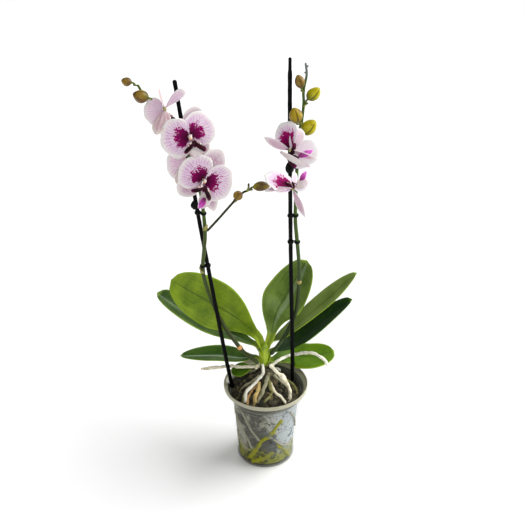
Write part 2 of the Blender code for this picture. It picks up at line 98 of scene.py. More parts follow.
class Look:
    """A procedural material on one Principled shader, whose colour is painted on in layers."""

    def __init__(self, name, colour, roughness=0.5, **sockets):
        self.material = bpy.data.materials.new(name)
        self.material.use_nodes = True
        self.tree = self.material.node_tree
        self.shader = self.tree.nodes["Principled BSDF"]
        self.shader.inputs["Roughness"].default_value = roughness
        for socket, value in sockets.items():
            self.shader.inputs[socket.replace("_", " ")].default_value = value
        self.colour = colour

    def give(self, socket, value):
        if isinstance(value, Value):
            self.tree.links.new(value.socket, socket)
        elif isinstance(value, tuple):
            socket.default_value = (*value, 1.0)
        elif value is not None:
            socket.default_value = value

    def node(self, kind, *values, **settings):
        made = self.tree.nodes.new("ShaderNode" + kind)
        for name, value in settings.items():
            setattr(made, name, value)
        for socket, value in zip(made.inputs, values):
            self.give(socket, value)
        return made

    def maths(self, operation, a, b=None, clamp=False):
        return Value(self, self.node("Math", a, b, operation=operation, use_clamp=clamp).outputs[0])

    def split(self, vector):
        return tuple(Value(self, output) for output in self.node("SeparateXYZ", vector).outputs)

    def pair(self, layer):
        """The two numbers of a UV map."""
        return self.split(Value(self, self.node("UVMap", uv_map=layer).outputs[0]))[:2]

    def place(self):
        return Value(self, self.node("TexCoord").outputs["Object"])

    def axes(self):
        return self.split(self.place())

    def noise(self, scale, detail=3.0, rough=0.5, distortion=0.0, at=None):
        """Soft noise of this scale over the object, or over the vector that at gives."""
        made = self.node("TexNoise")
        self.give(made.inputs["Vector"], self.place() if at is None else at)
        made.inputs["Scale"].default_value = scale
        made.inputs["Detail"].default_value = detail
        made.inputs["Roughness"].default_value = rough
        made.inputs["Distortion"].default_value = distortion
        return Value(self, made.outputs[0])

    def drawn(self, x, y, z=0.0, detail=3.0, rough=0.5):
        """Noise over three numbers, each stretched in its own way."""
        vector = Value(self, self.node("CombineXYZ", x, y, z).outputs[0])
        return self.noise(1.0, detail, rough, at=vector)

    def cells(self, scale):
        """How far each point is from the middle of its cell."""
        made = self.node("TexVoronoi", feature="F1")
        self.give(made.inputs["Vector"], self.place())
        made.inputs["Scale"].default_value = scale
        return Value(self, made.outputs["Distance"])

    def step(self, value, low, high, start=0.0, end=1.0):
        """Smoothly from start, where value is low, to end, where it is high."""
        made = self.node("MapRange", value, low, high, start, end, interpolation_type="SMOOTHSTEP")
        return Value(self, made.outputs[0])

    def mix(self, share, a, b):
        made = self.node("Mix", data_type="RGBA")
        for index, value in ((0, share), (6, a), (7, b)):
            self.give(made.inputs[index], value)
        return Value(self, made.outputs[2])

    def ramp(self, share, *stops):
        made = self.node("ValToRGB", share)
        ramp = made.color_ramp
        while len(ramp.elements) < len(stops):
            ramp.elements.new(0.5)
        for element, (position, colour) in zip(ramp.elements, stops):
            element.position = position
            element.color = (*colour, 1.0)
        return Value(self, made.outputs[0])

    def cover(self, colour, share):
        """Lays a colour over the look's own, by a share from 0 to 1."""
        self.colour = self.mix(share, self.colour, colour)

    def paint(self, colour, value, low, high, most=1.0):
        """Lays a colour over the look's own, from none where value is low to the most where it is high."""
        self.cover(colour, self.step(value, low, high, 0.0, most))

    def finish(self, height, distance, strength, roughness=None, alpha=None):
        """The finished material, with this height as its relief."""
        self.give(self.shader.inputs["Base Color"], self.colour)
        self.give(self.shader.inputs["Roughness"], roughness)
        self.give(self.shader.inputs["Alpha"], alpha)
        if height is not None:
            bump = self.node("Bump")
            bump.inputs["Strength"].default_value = strength
            bump.inputs["Distance"].default_value = distance
            self.give(bump.inputs["Height"], height)
            self.give(self.shader.inputs["Normal"], Value(self, bump.outputs[0]))
        return self.material


def scaled(colour, factor, most=1.0):
    return tuple(min(most, factor * channel) for channel in colour)


def petal_look(name, white, lilac, pink, blotch=0.0, crimson=(0.32, 0.0, 0.13)):
    """Petal skin: fine net veins, a pale margin and a ragged dark blotch out to this share of its length."""
    look = Look(name, white, 0.7, Subsurface_Weight=0.05, Subsurface_Scale=0.003, Specular_IOR_Level=0.08)
    u, v = look.pair("Blade")
    reach, seed = look.pair("Reach")
    seeded = seed * 37.0
    streak = look.drawn(v * 48.0, u * 3.0, seeded, 4.0, 0.6)
    net = look.drawn(v * 64.0, u * 17.0, seeded, 3.0, 0.6)
    sway = look.drawn(v * 6.0, u * 5.0, seeded)
    patch = look.drawn(v * 3.5, u * 2.0, seeded, 2.0)
    wave = look.maths("SINE", v * 138.0 + sway * 12.0)
    vein = look.step(wave, 0.0, 0.9) * look.step(streak, 0.34, 0.56)
    inside = look.step(u + streak * 0.16, 1.05, 0.78)
    look.cover(lilac, inside * look.step(patch, 0.3, 0.66, 0.6, 1.0))
    look.cover(white, look.step(net, 0.42, 0.56) * (inside * 0.62))
    look.cover(pink, vein * (look.step(u, 0.99, 0.7) * 0.58))
    look.paint(scaled(white, 1.25, 0.9), u, 0.955, 0.985, 0.8)
    if blotch:
        coarse = look.drawn(v * 13.0, reach * 7.0, seeded, 2.0)
        fine = look.drawn(v * 40.0, reach * 24.0, seeded, 2.0, 0.6)
        extent = look.step(abs(v * 2.0 - 1.0), 0.45, 0.98, 1.0, 0.32) * blotch
        ragged = (extent - reach) * 1.7 + (coarse + fine * 0.85 - 0.93)
        dark = look.ramp(reach + fine * 0.65, (0.36, (0.03, 0.0, 0.01)), (0.6, scaled(crimson, 0.38)),
                         (0.92, crimson))
        look.cover(dark, look.step(ragged, 0.0, 0.04))
    return look.finish(vein * -0.6 + streak, 0.0004, 0.35)


def leaf_look(name, dark, light, edge, shade=0.0, painted_sheen=None, under=False):
    """Leathery leaf skin: fine lengthwise veins, a darker channel along the midrib and a bright margin."""
    look = Look(name, dark, 0.38, Specular_IOR_Level=0.11)
    u, v = look.pair("Blade")
    side = abs(v * 2.0 - 1.0)
    grain = look.drawn(v * 55.0, u * 3.0, 0.0, 3.0, 0.6)
    clouds = look.noise(38.0, 3.0, 0.55)
    fine = look.noise(420.0, 2.0, 0.6)
    deep = scaled(dark, 0.5)
    look.paint(light, clouds * 0.65 + (grain * 0.45 + fine * 0.2) + side * 0.12, 0.42, 0.92)
    if painted_sheen:
        # A painted sheen: a pale band of painted reflection along one half of the blade
        where, strength = painted_sheen
        drift = look.drawn(u * 5.0, v * 9.0, 4.0, 3.0, 0.6)
        band = look.step(abs(v + (drift * 0.16 - where - 0.08)), 0.1, 0.01) * look.step(u, 0.1, 0.3)
        look.cover((0.36, 0.46, 0.32), band * strength)
    if shade:
        look.paint(deep, u, shade + 0.14, shade - 0.1, 0.75)
    look.paint(deep, side, 0.075, 0.0, 0.55)
    look.paint(edge, side, 0.9, 1.0, 0.75)
    look.paint(edge, u, 0.965, 1.0, 0.6)
    look.paint(edge, look.cells(240.0), 0.16, 0.08, 0.35)
    look.paint((0.3, 0.4, 0.03), u, 0.16, 0.0, 0.85)
    rough = 0.5 if under else look.step(fine, 0.3, 0.7, 0.3, 0.44)
    return look.finish(grain * 0.8 + fine * 0.25, 0.0006, 0.4, rough)


def root_look(name, main, second, dirt, amount=0.5):
    """Velamen: chalky skin with grey-green patches, brown scars and fine lengthwise wrinkles."""
    look = Look(name, main, 0.8, Specular_IOR_Level=0.25)
    fine = look.noise(700.0, 3.0, 0.65)
    scars = look.noise(260.0, 3.0, 0.6, 1.2)
    look.paint(second, look.noise(85.0, 4.0, 0.65, 0.4), 0.62 - 0.3 * amount, 0.78 - 0.2 * amount)
    look.paint(dirt, scars, 0.56, 0.7, 0.65)
    look.paint(dirt, fine, 0.58, 0.74, 0.35)
    return look.finish(fine + scars * -1.5, 0.0008, 0.8)


def stem_look(name, dark, light, blush, low, high):
    """Stem skin: dark green low down, lighter green with height, a brown blush and fine specks."""
    look = Look(name, dark, 0.42, Specular_IOR_Level=0.25)
    height = look.axes()[2]
    clouds = look.noise(55.0, 3.0, 0.6)
    specks = look.noise(900.0, 2.0, 0.6)
    look.paint(light, height + clouds * 0.05, low, high)
    look.cover(blush, look.step(clouds, 0.48, 0.7) * 0.6)
    look.paint(scaled(light, 1.7), specks, 0.62, 0.74, 0.5)
    look.paint((0.13, 0.15, 0.14), height, 0.578, 0.592)
    return look.finish(specks, 0.0002, 0.4)


def bud_look(name, gold, green, flush, amount):
    """Bud skin: golden green with a brown-purple flush, darker seams and a green foot, the seams and foot
    darkened partly as painted shade.
    """
    look = Look(name, gold, 0.34, Subsurface_Weight=0.05, Subsurface_Scale=0.003, Specular_IOR_Level=0.28)
    u, groove = look.pair("Blade")
    clouds = look.noise(95.0, 3.0, 0.6, 0.3)
    fine = look.noise(800.0, 2.0, 0.6)
    # A dark green foot: partly the bud's own green, partly painted shade towards its foot
    look.paint(green, u + clouds * 0.5, 0.85, 0.25)
    look.cover(flush, look.step(clouds, 0.62 - 0.3 * amount, 0.8 - 0.25 * amount) * 0.85)
    # Darker seams: partly painted shade in the grooves
    look.paint(scaled(green, 0.35), groove, 0.5, 1.0, 0.85)
    look.paint(scaled(gold, 1.6), fine, 0.6, 0.74, 0.35)
    return look.finish(fine + groove * -2.0, 0.0003, 0.45)


def bark_look(name, dark, mid, tan):
    """Bark: each chip its own brown, with fibres, pale scuffs and dust."""
    look = Look(name, None, 0.92)
    _, seed = look.pair("Reach")
    clouds = look.noise(130.0, 4.0, 0.7)
    fibre = look.noise(900.0, 3.0, 0.65)
    look.colour = look.ramp(seed * 0.75 + clouds * 0.35, (0.1, dark), (0.62, mid), (0.98, tan))
    look.paint(scaled(mid, 1.8), fibre, 0.56, 0.72, 0.5)
    return look.finish(clouds + fibre * 0.5, 0.0012, 0.9)


def plastic_look(name, colour, roughness):
    """Moulded black plastic: a faint mottle, fine drawn lines along its length and dusty scuffs."""
    look = Look(name, colour, roughness, Specular_IOR_Level=0.06)
    x, y, z = look.axes()
    lines = look.drawn(x * 900.0, y * 900.0, z * 30.0, 2.0)
    dust = look.noise(160.0, 4.0, 0.7)
    look.paint(tuple(2.2 * c + 0.002 for c in colour), dust, 0.52, 0.8, 0.6)
    return look.finish(lines, 0.0002, 0.35, look.step(dust, 0.3, 0.8, roughness - 0.08, roughness + 0.16))


# ---------------------------------------------------------------- shapes


def link(name, data):
    """A new object in the scene."""
    made = bpy.data.objects.new(name, data)
    bpy.context.scene.collection.objects.link(made)
    return made


class Shape:
    """Points and faces gathered part by part, with two UV maps and a material number for each face."""

    def __init__(self):
        self.points, self.blade, self.reach, self.faces, self.slots = [], [], [], [], []

    def add(self, points, blade, reach, faces, slot):
        start = len(self.points)
        self.points.extend(tuple(point) for point in points)
        self.blade.extend(blade)
        self.reach.extend(reach)
        self.faces.extend(tuple(start + corner for corner in face) for face in faces)
        self.slots.extend([slot] * len(faces) if isinstance(slot, int) else slot)

    def object(self, name, materials, smooth=True):
        mesh = bpy.data.meshes.new(name)
        mesh.from_pydata(self.points, [], self.faces)
        for material in materials:
            mesh.materials.append(material)
        mesh.polygons.foreach_set("material_index", self.slots)
        mesh.polygons.foreach_set("use_smooth", [smooth] * len(self.faces))
        corners = np.empty(len(mesh.loops), np.int32)
        mesh.loops.foreach_get("vertex_index", corners)
        for layer, values in (("Blade", self.blade), ("Reach", self.reach)):
            uv = mesh.uv_layers.new(name=layer)
            uv.data.foreach_set("uv", np.array(values, np.float32)[corners].ravel())
        outward = bmesh.new()
        outward.from_mesh(mesh)
        bmesh.ops.recalc_face_normals(outward, faces=outward.faces)
        outward.to_mesh(mesh)
        outward.free()
        return link(name, mesh)

    def piece(self, name, materials, slot, *nodes, smooth=True):
        """A piece of the part: it rides on the pot and stands for these nodes. Its slot is not used."""
        made = self.object(name, materials, smooth)
        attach(made, "root")
        if nodes:
            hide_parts(*nodes)


def grid_faces(rows, columns, wrap=False):
    faces = []
    for row in range(rows - 1):
        for column in range(columns if wrap else columns - 1):
            a = row * columns + column
            b = row * columns + (column + 1) % columns
            faces.append((a, b, b + columns, a + columns))
    return faces


def closed_faces(rows, columns):
    """The faces of a grid rolled into a tube, with one over each end."""
    last = (rows - 1) * columns
    return [*grid_faces(rows, columns, wrap=True), tuple(range(columns)), tuple(range(last, last + columns))]


def smooth(route, steps):
    """Points on a smooth curve through the route's points."""
    points = [Vector(point) for point in route]
    points = [2 * points[0] - points[1], *points, 2 * points[-1] - points[-2]]
    made = []
    for index in range(steps + 1):
        place_on = min(index / steps, 0.99999) * (len(route) - 1)
        step = int(place_on)
        t = place_on - step
        a, b, c, d = points[step:step + 4]
        made.append(0.5 * (2 * b + (c - a) * t + (2 * a - 5 * b + 4 * c - d) * t ** 2
                           + (3 * b - a - 3 * c + d) * t ** 3))
    return made


def headings(path):
    made = []
    for index in range(len(path)):
        ahead = path[min(index + 1, len(path) - 1)]
        behind = path[max(index - 1, 0)]
        made.append((ahead - behind).normalized())
    return made


def along(steps, size):
    """What size gives at each step from a share of 0 to a share of 1."""
    return [size(index / steps) for index in range(steps + 1)]


# The turns at which a tube's rounded ends have a ring
CAP_TURNS = (28, 55, 80)


def add_tube(shape, path, radii, sides, slot=0, rough=0.0, grain=60.0, flat=1.0, seed=0.5, side=None):
    """A round stem along a path, with rounded ends, a radius at each point and an uneven skin if rough."""
    if not hasattr(radii, "__len__"):
        radii = [radii] * len(path)
    ways = headings(path)
    across = side or ways[0].orthogonal().normalized()
    rings = [(point, way, radius, index / (len(path) - 1))
             for index, (point, way, radius) in enumerate(zip(path, ways, radii))]
    for turn in map(math.radians, CAP_TURNS):
        rise, shrink = math.sin(turn), math.cos(turn)
        rings.insert(0, (path[0] - ways[0] * radii[0] * rise, ways[0], radii[0] * shrink, -0.1 * rise))
        rings.append((path[-1] + ways[-1] * radii[-1] * rise, ways[-1], radii[-1] * shrink, 1 + 0.1 * rise))
    points, blade, reach = [], [], []
    for point, way, radius, share in rings:
        across = (across - across.dot(way) * way).normalized()
        other = way.cross(across)
        for index in range(sides):
            turn = 2 * math.pi * index / sides
            out = across * math.cos(turn) + other * math.sin(turn) * flat
            size = radius
            if rough:
                size *= 1 + rough * noise.noise((point + out * radius) * grain)
            points.append(point + out * size)
            blade.append((share, 0.5 + 0.5 * math.cos(turn)))
            reach.append((share, seed))
    shape.add(points, blade, reach, closed_faces(len(rings), sides), slot)


def add_sheet(shape, surface, rows, columns, thickness, slots, seed=0.5, taper=(0.3, 0.3), start=0.0,
              way=None):
    """A thin closed sheet from surface(u, v), which gives a point and its reach. Slots: face, back and rim.

    Its face is on the side of the direction way, where that is given."""
    us = np.linspace(start, 1.0, rows)
    vs = np.linspace(0.0, 1.0, columns)
    middle = np.empty((rows, columns, 3))
    reach = np.empty((rows, columns))
    for row, u in enumerate(us):
        for column, v in enumerate(vs):
            point, far = surface(u, v)
            middle[row, column] = point
            reach[row, column] = far
    normal = np.cross(np.gradient(middle, axis=1), np.gradient(middle, axis=0))
    size = np.linalg.norm(normal, axis=2, keepdims=True)
    normal = normal / np.maximum(size, 1e-15)
    normal[0] = normal[1]
    if way is not None and (normal[2:].sum((0, 1)) * np.array(way)).sum() < 0:
        normal = -normal
    side = np.minimum(vs, 1 - vs) * 2
    to_tip = np.minimum(1.0, taper[0] + 5.0 * (1 - us))
    to_side = np.minimum(1.0, taper[1] + 4.0 * side)
    half = (0.5 * thickness * to_tip[:, None] * to_side[None, :])[..., None] * normal
    front = (middle + half).reshape(-1, 3)
    back = (middle - half).reshape(-1, 3)
    total = rows * columns
    faces = grid_faces(rows, columns)
    turned = [tuple(total + corner for corner in face[::-1]) for face in faces]
    loop = list(range(columns)) + [row * columns + columns - 1 for row in range(1, rows)]
    loop += [total - 1 - index for index in range(1, columns)]
    loop += [row * columns for row in range(rows - 2, 0, -1)]
    rim = [(a, b, total + b, total + a) for a, b in zip(loop, loop[1:] + loop[:1])]
    blade = [(u, v) for u in us for v in vs]
    far = [(value, seed) for value in reach.ravel()]
    marks = [slots[0]] * len(faces) + [slots[1]] * len(turned) + [slots[2]] * len(rim)
    shape.add(np.vstack((front, back)), blade * 2, far * 2, faces + turned + rim, marks)


def add_lathe(shape, profile, segments, slot=0, uneven=None):
    """A profile of (radius, height) turned about Z. uneven(point) moves each point a little."""
    points, blade, reach = [], [], []
    for row, (radius, height) in enumerate(profile):
        for index in range(segments):
            turn = 2 * math.pi * index / segments
            point = Vector((radius * math.sin(turn), -radius * math.cos(turn), height))
            points.append(uneven(point) if uneven else point)
            blade.append((row / (len(profile) - 1), 0.5 + 0.5 * math.cos(turn)))
            reach.append((height, 0.5))
    shape.add(points, blade, reach, closed_faces(len(profile), segments), slot)


def rounded(profile, rounds=2):
    """The profile with its corners cut, round after round."""
    points = [Vector(point) for point in profile]
    for _ in range(rounds):
        cut = [points[0]]
        for start, end in zip(points, points[1:]):
            cut += [start.lerp(end, 0.25), start.lerp(end, 0.75)]
        points = [*cut, points[-1]]
    return points


# ---------------------------------------------------------------- flowers

WHITE = (0.76, 0.71, 0.7)
LILAC = (0.62, 0.385, 0.61)
PINK = (0.42, 0.14, 0.4)
# The face and back of petals and sepals, on the left spike and, paler, on the right one, whose flowers face
# the light: the paler copy is partly painted light
PETAL_LOOKS = {
    False: (petal_look("petal_face", WHITE, LILAC, PINK, 0.5),
            petal_look("petal_back", (0.8, 0.74, 0.74), (0.68, 0.44, 0.64), (0.56, 0.28, 0.49)),
            petal_look("sepal_face", WHITE, (0.5, 0.3, 0.42), (0.38, 0.12, 0.27), 0.12),
            petal_look("sepal_back", (0.68, 0.6, 0.56), (0.55, 0.35, 0.42), (0.42, 0.18, 0.27))),
    True: (petal_look("pale_petal_face", (0.9, 0.88, 0.88), (0.78, 0.55, 0.77), (0.54, 0.18, 0.48), 0.66,
                      (0.36, 0.0, 0.13)),
           petal_look("pale_petal_back", (0.88, 0.87, 0.87), (0.76, 0.66, 0.73), (0.68, 0.5, 0.62)),
           petal_look("pale_sepal_face", (0.8, 0.75, 0.76), (0.6, 0.34, 0.47), (0.46, 0.18, 0.32), 0.1),
           petal_look("pale_sepal_back", (0.86, 0.82, 0.83), (0.7, 0.5, 0.62), (0.56, 0.3, 0.46))),
}
FLOWER_STALK = stem_look("flower_stalk", (0.36, 0.34, 0.12), (0.3, 0.3, 0.08), (0.4, 0.26, 0.14),
                         0.48, 0.54)


def lip_look():
    look = Look("lip_arm", (0.014, 0.0, 0.004), 0.5, Specular_IOR_Level=0.1)
    u, _ = look.pair("Blade")
    look.paint((0.06, 0.0, 0.013), look.noise(260.0, 3.0, 0.6), 0.45, 0.72)
    look.paint((0.16, 0.004, 0.07), u, 0.8, 1.05, 0.6)
    return look.finish(look.noise(1500.0, 2.0, 0.6), 0.0003, 0.5)


def tongue_look():
    look = Look("lip_tongue", None, 0.45, Subsurface_Weight=0.1, Subsurface_Scale=0.003)
    u, v = look.pair("Blade")
    _, seed = look.pair("Reach")
    streak = look.drawn(v * 22.0, u * 2.5, seed, 3.0, 0.6)
    share = u * 0.72 + (streak - 0.5) * 0.6 + look.step(abs(v * 2.0 - 1.0), 0.55, 1.0, 0.0, 0.45)
    look.colour = look.ramp(share, (0.05, (0.16, 0.002, 0.07)), (0.35, (0.42, 0.02, 0.32)),
                            (0.7, (0.6, 0.12, 0.52)), (0.92, (0.8, 0.72, 0.74)))
    return look.finish(streak, 0.0004, 0.4)


def callus_look():
    look = Look("lip_callus", (0.74, 0.66, 0.58), 0.4, Subsurface_Weight=0.15, Subsurface_Scale=0.003)
    clouds = look.noise(300.0, 2.0)
    look.paint((0.7, 0.48, 0.48), clouds, 0.4, 0.7)
    look.paint((0.16, 0.004, 0.04), look.cells(480.0), 0.46, 0.36)
    return look.finish(clouds, 0.0003, 0.4)


def column_look():
    look = Look("column", None, 0.42, Subsurface_Weight=0.15, Subsurface_Scale=0.002, Specular_IOR_Level=0.3)
    u, _ = look.pair("Blade")
    clouds = look.noise(500.0)
    look.colour = look.ramp((u + (clouds - 0.5) * 0.2) * 0.8, (0.0, (0.5, 0.2, 0.34)),
                            (0.45, (0.72, 0.55, 0.55)), (0.8, (0.8, 0.72, 0.62)),
                            (0.9, (0.66, 0.24, 0.06)))
    return look.finish(clouds, 0.0003, 0.4)


def flap_look():
    look = Look("lip_flap", (0.66, 0.6, 0.59), 0.55, Subsurface_Weight=0.1, Subsurface_Scale=0.003,
                Specular_IOR_Level=0.15)
    u, v = look.pair("Blade")
    streak = look.drawn(v * 26.0, u * 1.6, 0.0, 3.0, 0.6)
    look.paint((0.5, 0.2, 0.42), streak, 0.56, 0.62, 0.75)
    return look.finish(streak, 0.0004, 0.4)


LIP_LOOKS = [lip_look(), tongue_look(), callus_look(), flap_look()]
COLUMN = column_look()

# Forms of a tepal: length in millimetres, spread in degrees to each side, fullness, lean to the front, curl
# back, cup, wave, twist about its own axis, and how far behind the flower's middle it starts
PETAL = {"length": 36.5, "spread": 98, "full": (2.6, 0.5), "lean": 2, "curl": 0.1, "cup": 0.04,
         "wave": 0.03, "twist": 0, "behind": -1.2}
SEPAL = {"length": 37, "spread": 52, "full": (1.6, 0.6), "lean": -4, "curl": 0.1, "cup": 0.2,
         "wave": 0.02, "twist": 0, "behind": 2.2}
POINTED = (1.1, 0.85)
TEPALS = {"petal_left": (174, PETAL), "petal_right": (6, PETAL), "dorsal": (90, SEPAL),
          "sepal_left": (230, SEPAL), "sepal_right": (316, SEPAL)}
# In millimetres and degrees: the middle of each flower, turn about Z, tilt up, roll, size, where its stalk
# meets the spike, how its tepals differ from the plain forms, and its lip's arms and tongue where they differ
FLOWERS = {
    "flower_1": ((-127.3, 9, 545), 180, -31, 0, 70, (-123, 18, 524), {
        "petal_right": {"angle": 329, "length": 25.5, "spread": 112, "lean": 8, "twist": -12, "curl": 0.02},
        "petal_left": {"angle": 135, "length": 33, "spread": 21, "twist": 36, "lean": -6},
        "dorsal": {"angle": 70, "length": 27.5, "spread": 30, "twist": 74, "lean": -5, "full": POINTED},
        "sepal_right": {"angle": 285, "length": 34.5, "spread": 34, "twist": 16, "lean": -5},
        "sepal_left": {"angle": 268, "length": 25, "spread": 40, "twist": -12, "lean": 12}}, {}),
    "flower_2": ((-96, -6, 514), 12, 5, 3, 70, (-104, 12, 490), {
        "petal_left": {"angle": 178, "length": 35.6, "cup": 0.02},
        "petal_right": {"angle": 32, "length": 33.5, "spread": 92, "lean": -3, "curl": 0.1},
        "dorsal": {"angle": 68, "length": 37, "spread": 54},
        "sepal_left": {"angle": 232, "length": 35},
        "sepal_right": {"angle": 308, "length": 34.5}}, {
        "shift": (3.8, -1.6), "tongue": None,
        "flap": (((4, -7, -8), (5, -9.5, -17), (5.5, -8.5, -26.5)), 8)}),
    "flower_3": ((-99, 56, 444), 180, 0, -15, 62, (-87, 12.7, 430), {}, {}),
    "flower_4": ((-79, -15, 457), 10, 5, -32, 70, (-92, 11.5, 452), {
        "petal_left": {"angle": 163, "length": 35, "spread": 94},
        "petal_right": {"angle": 14, "length": 36.5, "spread": 90},
        "dorsal": {"angle": 90, "length": 42, "spread": 56, "behind": 1.5},
        "sepal_left": {"angle": 238, "length": 37.5},
        "sepal_right": {"angle": 316, "length": 50, "spread": 40, "full": POINTED}}, {
        "shift": (3.8, -1.6), "column": 0.85,
        "tongue": (((10, -9.5, -18.5), (10.5, -11.5, -27), (10.5, -9.5, -34.5)), 4.6),
        "flap": (((8, -7, -10), (12.5, -8.5, -21), (13.5, -7, -34)), 8.5)}),
    "flower_5": ((30, -18, 500), 0, 31, 0, 70, (40, 20, 484), {
        "petal_left": {"angle": 105, "length": 35.2, "spread": 80, "twist": -52, "lean": -6, "curl": 0.05},
        "petal_right": {"angle": -17, "length": 35, "spread": 80, "twist": 36, "lean": -12, "back": True},
        "dorsal": {"angle": 62, "length": 28, "spread": 48, "twist": -20, "lean": 8, "behind": -6,
                   "back": True},
        "sepal_left": {"angle": 157, "length": 35.5, "spread": 36, "twist": -40, "lean": 6, "full": POINTED},
        "sepal_right": {"angle": -28, "length": 35.5, "spread": 34, "twist": 66, "lean": 14, "behind": -15,
                        "full": POINTED}}, {
        "arms": (((-1.5, -12, -8.7), (1.2, -14, -6.2), (3.6, -16, -0.6), (4.8, -16, 5)),
                 ((-1, -14, -8), (3.5, -15, -10), (8, -15, -11.2)),
                 ((-3, -19, -12), (1, -20, -17), (5, -20, -21))),
        "tongue": (((9.5, -21, -9.5), (19, -23, -6.5), (27.5, -20, -1.5)), 4.2),
        "flap": (((-12.5, -18, -3.5), (5, -22, -14.5), (24.5, -18, -22)), 4),
        "column": 0.0, "thick": 0.9}),
    "flower_6": ((34, -25, 449), 0, 31, 0, 70, (39.7, 16.5, 432), {
        "petal_left": {"angle": 151, "length": 38, "spread": 82, "twist": 57, "lean": 4, "curl": 0.05},
        "petal_right": {"angle": 18, "length": 23, "spread": 64, "twist": 60, "lean": -10, "back": True},
        "dorsal": {"angle": 80, "length": 20, "spread": 46, "twist": 50, "lean": -10, "behind": -4,
                   "back": True},
        "sepal_left": {"angle": 182, "length": 35, "spread": 26, "twist": 66, "lean": 14, "behind": -16},
        "sepal_right": {"angle": 291, "length": 37, "spread": 26, "twist": 30, "lean": 10,
                        "full": POINTED}}, {
        "arms": (((-10, -10, 8), (-6, -12, 4.5), (-2, -12, 1.5)),
                 ((-1, -10, 8), (0.5, -13, 4.5), (1, -12, 1))),
        "tongue": (((9, -12, 9), (12.5, -15, 15), (16.5, -12, 21.5)), 3.6),
        "flap": (((4, -10, 1), (11, -13, 6), (17, -12, 11)), 6),
        "column": 0.0, "thick": 0.45}),
}
ARMS = tuple(((side * 1.0, -7.0, -4.8), (side * 3.6, -9.8, -7.8), (side * 7.0, -11.6, -10.4),
              (side * 9.8, -11.2, -12.6), (side * 11.6, -10.0, -14.6)) for side in (-1, 1))
TONGUE = (((0, -10.5, -10), (0, -14, -17), (0, -11, -25)), 4.2)
COLUMN_ROUTE = metres(((0, 3, 0.2), (0, -3, 0.8), (0, -5.2, 0.6), (0, -6.6, -0.4)))
FLOWER_UNIT = 0.07


def add_tepal(shape, matrix, form, slots, seed):
    """A petal or sepal that fans out from its claw by the column."""
    angle = math.radians(form["angle"])
    heading = Vector((math.cos(angle), 0.0, math.sin(angle)))
    sideways = Vector((-math.sin(angle), 0.0, math.cos(angle)))
    pose = (Matrix.Rotation(math.radians(form["lean"]), 3, heading.cross(FRONT))
            @ Matrix.Rotation(math.radians(form["twist"]), 3, heading))
    length, behind = metres((form["length"], form["behind"]))
    spread = math.radians(form["spread"])
    power, root = form["full"]
    phase = 6.28 * random.Random(seed).random()
    base = heading * 0.0016 - FRONT * behind

    def surface(u, v):
        turn = (2 * v - 1) * spread
        fullness = max(0.0, 1 - abs(turn * 0.998 / spread) ** power) ** root
        frill = 1 + 0.018 * math.sin(6 * turn + phase) + 0.01 * math.sin(13 * turn + 2 * phase)
        rim = length * fullness * frill
        forward = u * rim * math.cos(turn)
        across = u * rim * math.sin(turn)
        share = max(0.0, forward / length)
        lift = form["cup"] * across ** 2 / length - form["curl"] * share ** 2 * length
        lift += form["wave"] * length * u ** 3 * math.sin(3.5 * turn + phase)
        lift += 0.012 * length * u ** 4 * math.sin(9 * turn + 2 * phase)
        lift -= 0.0009 * math.exp(-(across / 0.0016) ** 2) * math.sin(math.pi * min(1, share))
        point = base + pose @ (heading * forward + sideways * across + FRONT * lift)
        return matrix @ point, u * rim / length

    way = matrix.to_3x3() @ pose @ FRONT
    add_sheet(shape, surface, 20, 41, 0.0009, slots, (seed * 0.137) % 1.0, (0.35, 0.6), 0.05, way)


def add_lip(shape, matrix, lips, seed):
    """The dark arms, each with a club end and a spotted callus, the magenta tongue and the pale flap."""
    across, up = metres(lips.get("shift", (0.0, 0.0)))
    thick = matrix.to_scale()[0] * lips.get("thick", 1.0)
    shift = Vector((across, 0.0, up))
    arms = [[Vector(point) + shift for point in arm] for arm in metres(lips.get("arms", ARMS))]

    def tube(route, steps, size, sides, slot, **skin):
        path = [matrix @ point for point in smooth(route, steps)]
        add_tube(shape, path, along(steps, lambda share: thick * size(share)), sides, slot, **skin)

    for arm in arms:
        tube(arm, 18, lambda share: 0.002 + 0.0013 * math.sin(math.pi * min(1, 0.05 + 0.62 * share)) ** 0.8,
             12, 0, rough=0.15, grain=300.0, flat=0.8)
        start, way = arm[0], arm[1] - arm[0]
        side = 1 if way.x >= 0 else -1
        lump = [start, start + way * 0.9 + Vector((side * 0.002, 0.0006, 0.0016)),
                start + way * 1.5 + Vector((side * 0.0046, 0.0006, 0.0002))]
        tube(lump, 8, lambda share: 0.0016 * math.sin(math.pi * (0.15 + 0.65 * share)), 10, 2,
             rough=0.25, grain=400.0)
    keel = [arms[0][0].lerp(arms[1][0], 0.5) + Vector(offset) for offset in
            ((0.0, 0.003, 0.0), (0.0, -0.0015, -0.002), (0.0, -0.003, -0.0045))]
    tube(keel, 10, lambda share: 0.0014 + 0.0008 * math.sin(math.pi * share), 10, 0, rough=0.12, grain=300.0)
    for key, slot, plain in (("tongue", 1, TONGUE), ("flap", 3, None)):
        if strip := metres(lips.get(key, plain)):
            add_flap(shape, matrix, *strip, slot, seed)


def add_flap(shape, matrix, route, half, slot, seed):
    """A curved strip that is widest in the middle, with its sides folded back and a wavy edge."""
    steps = 13
    path = smooth(route, steps)
    ways = headings(path)

    def surface(u, v):
        place_on = u * steps
        index = min(int(place_on), steps - 1)
        point = path[index].lerp(path[index + 1], place_on - index)
        across = ways[index].cross(FRONT).normalized()
        reach = (2 * v - 1) * half * math.sin(math.pi * (0.1 + 0.82 * u)) ** 0.9
        wavy = 0.1 * abs(reach) * math.sin(14 * u + 6 * v)
        return matrix @ (point + across * reach - FRONT * (20.0 * reach ** 2 + wavy)), u

    add_sheet(shape, surface, 14, 11, 0.001, (slot, slot, slot), seed=seed % 1.0, taper=(0.4, 0.5))


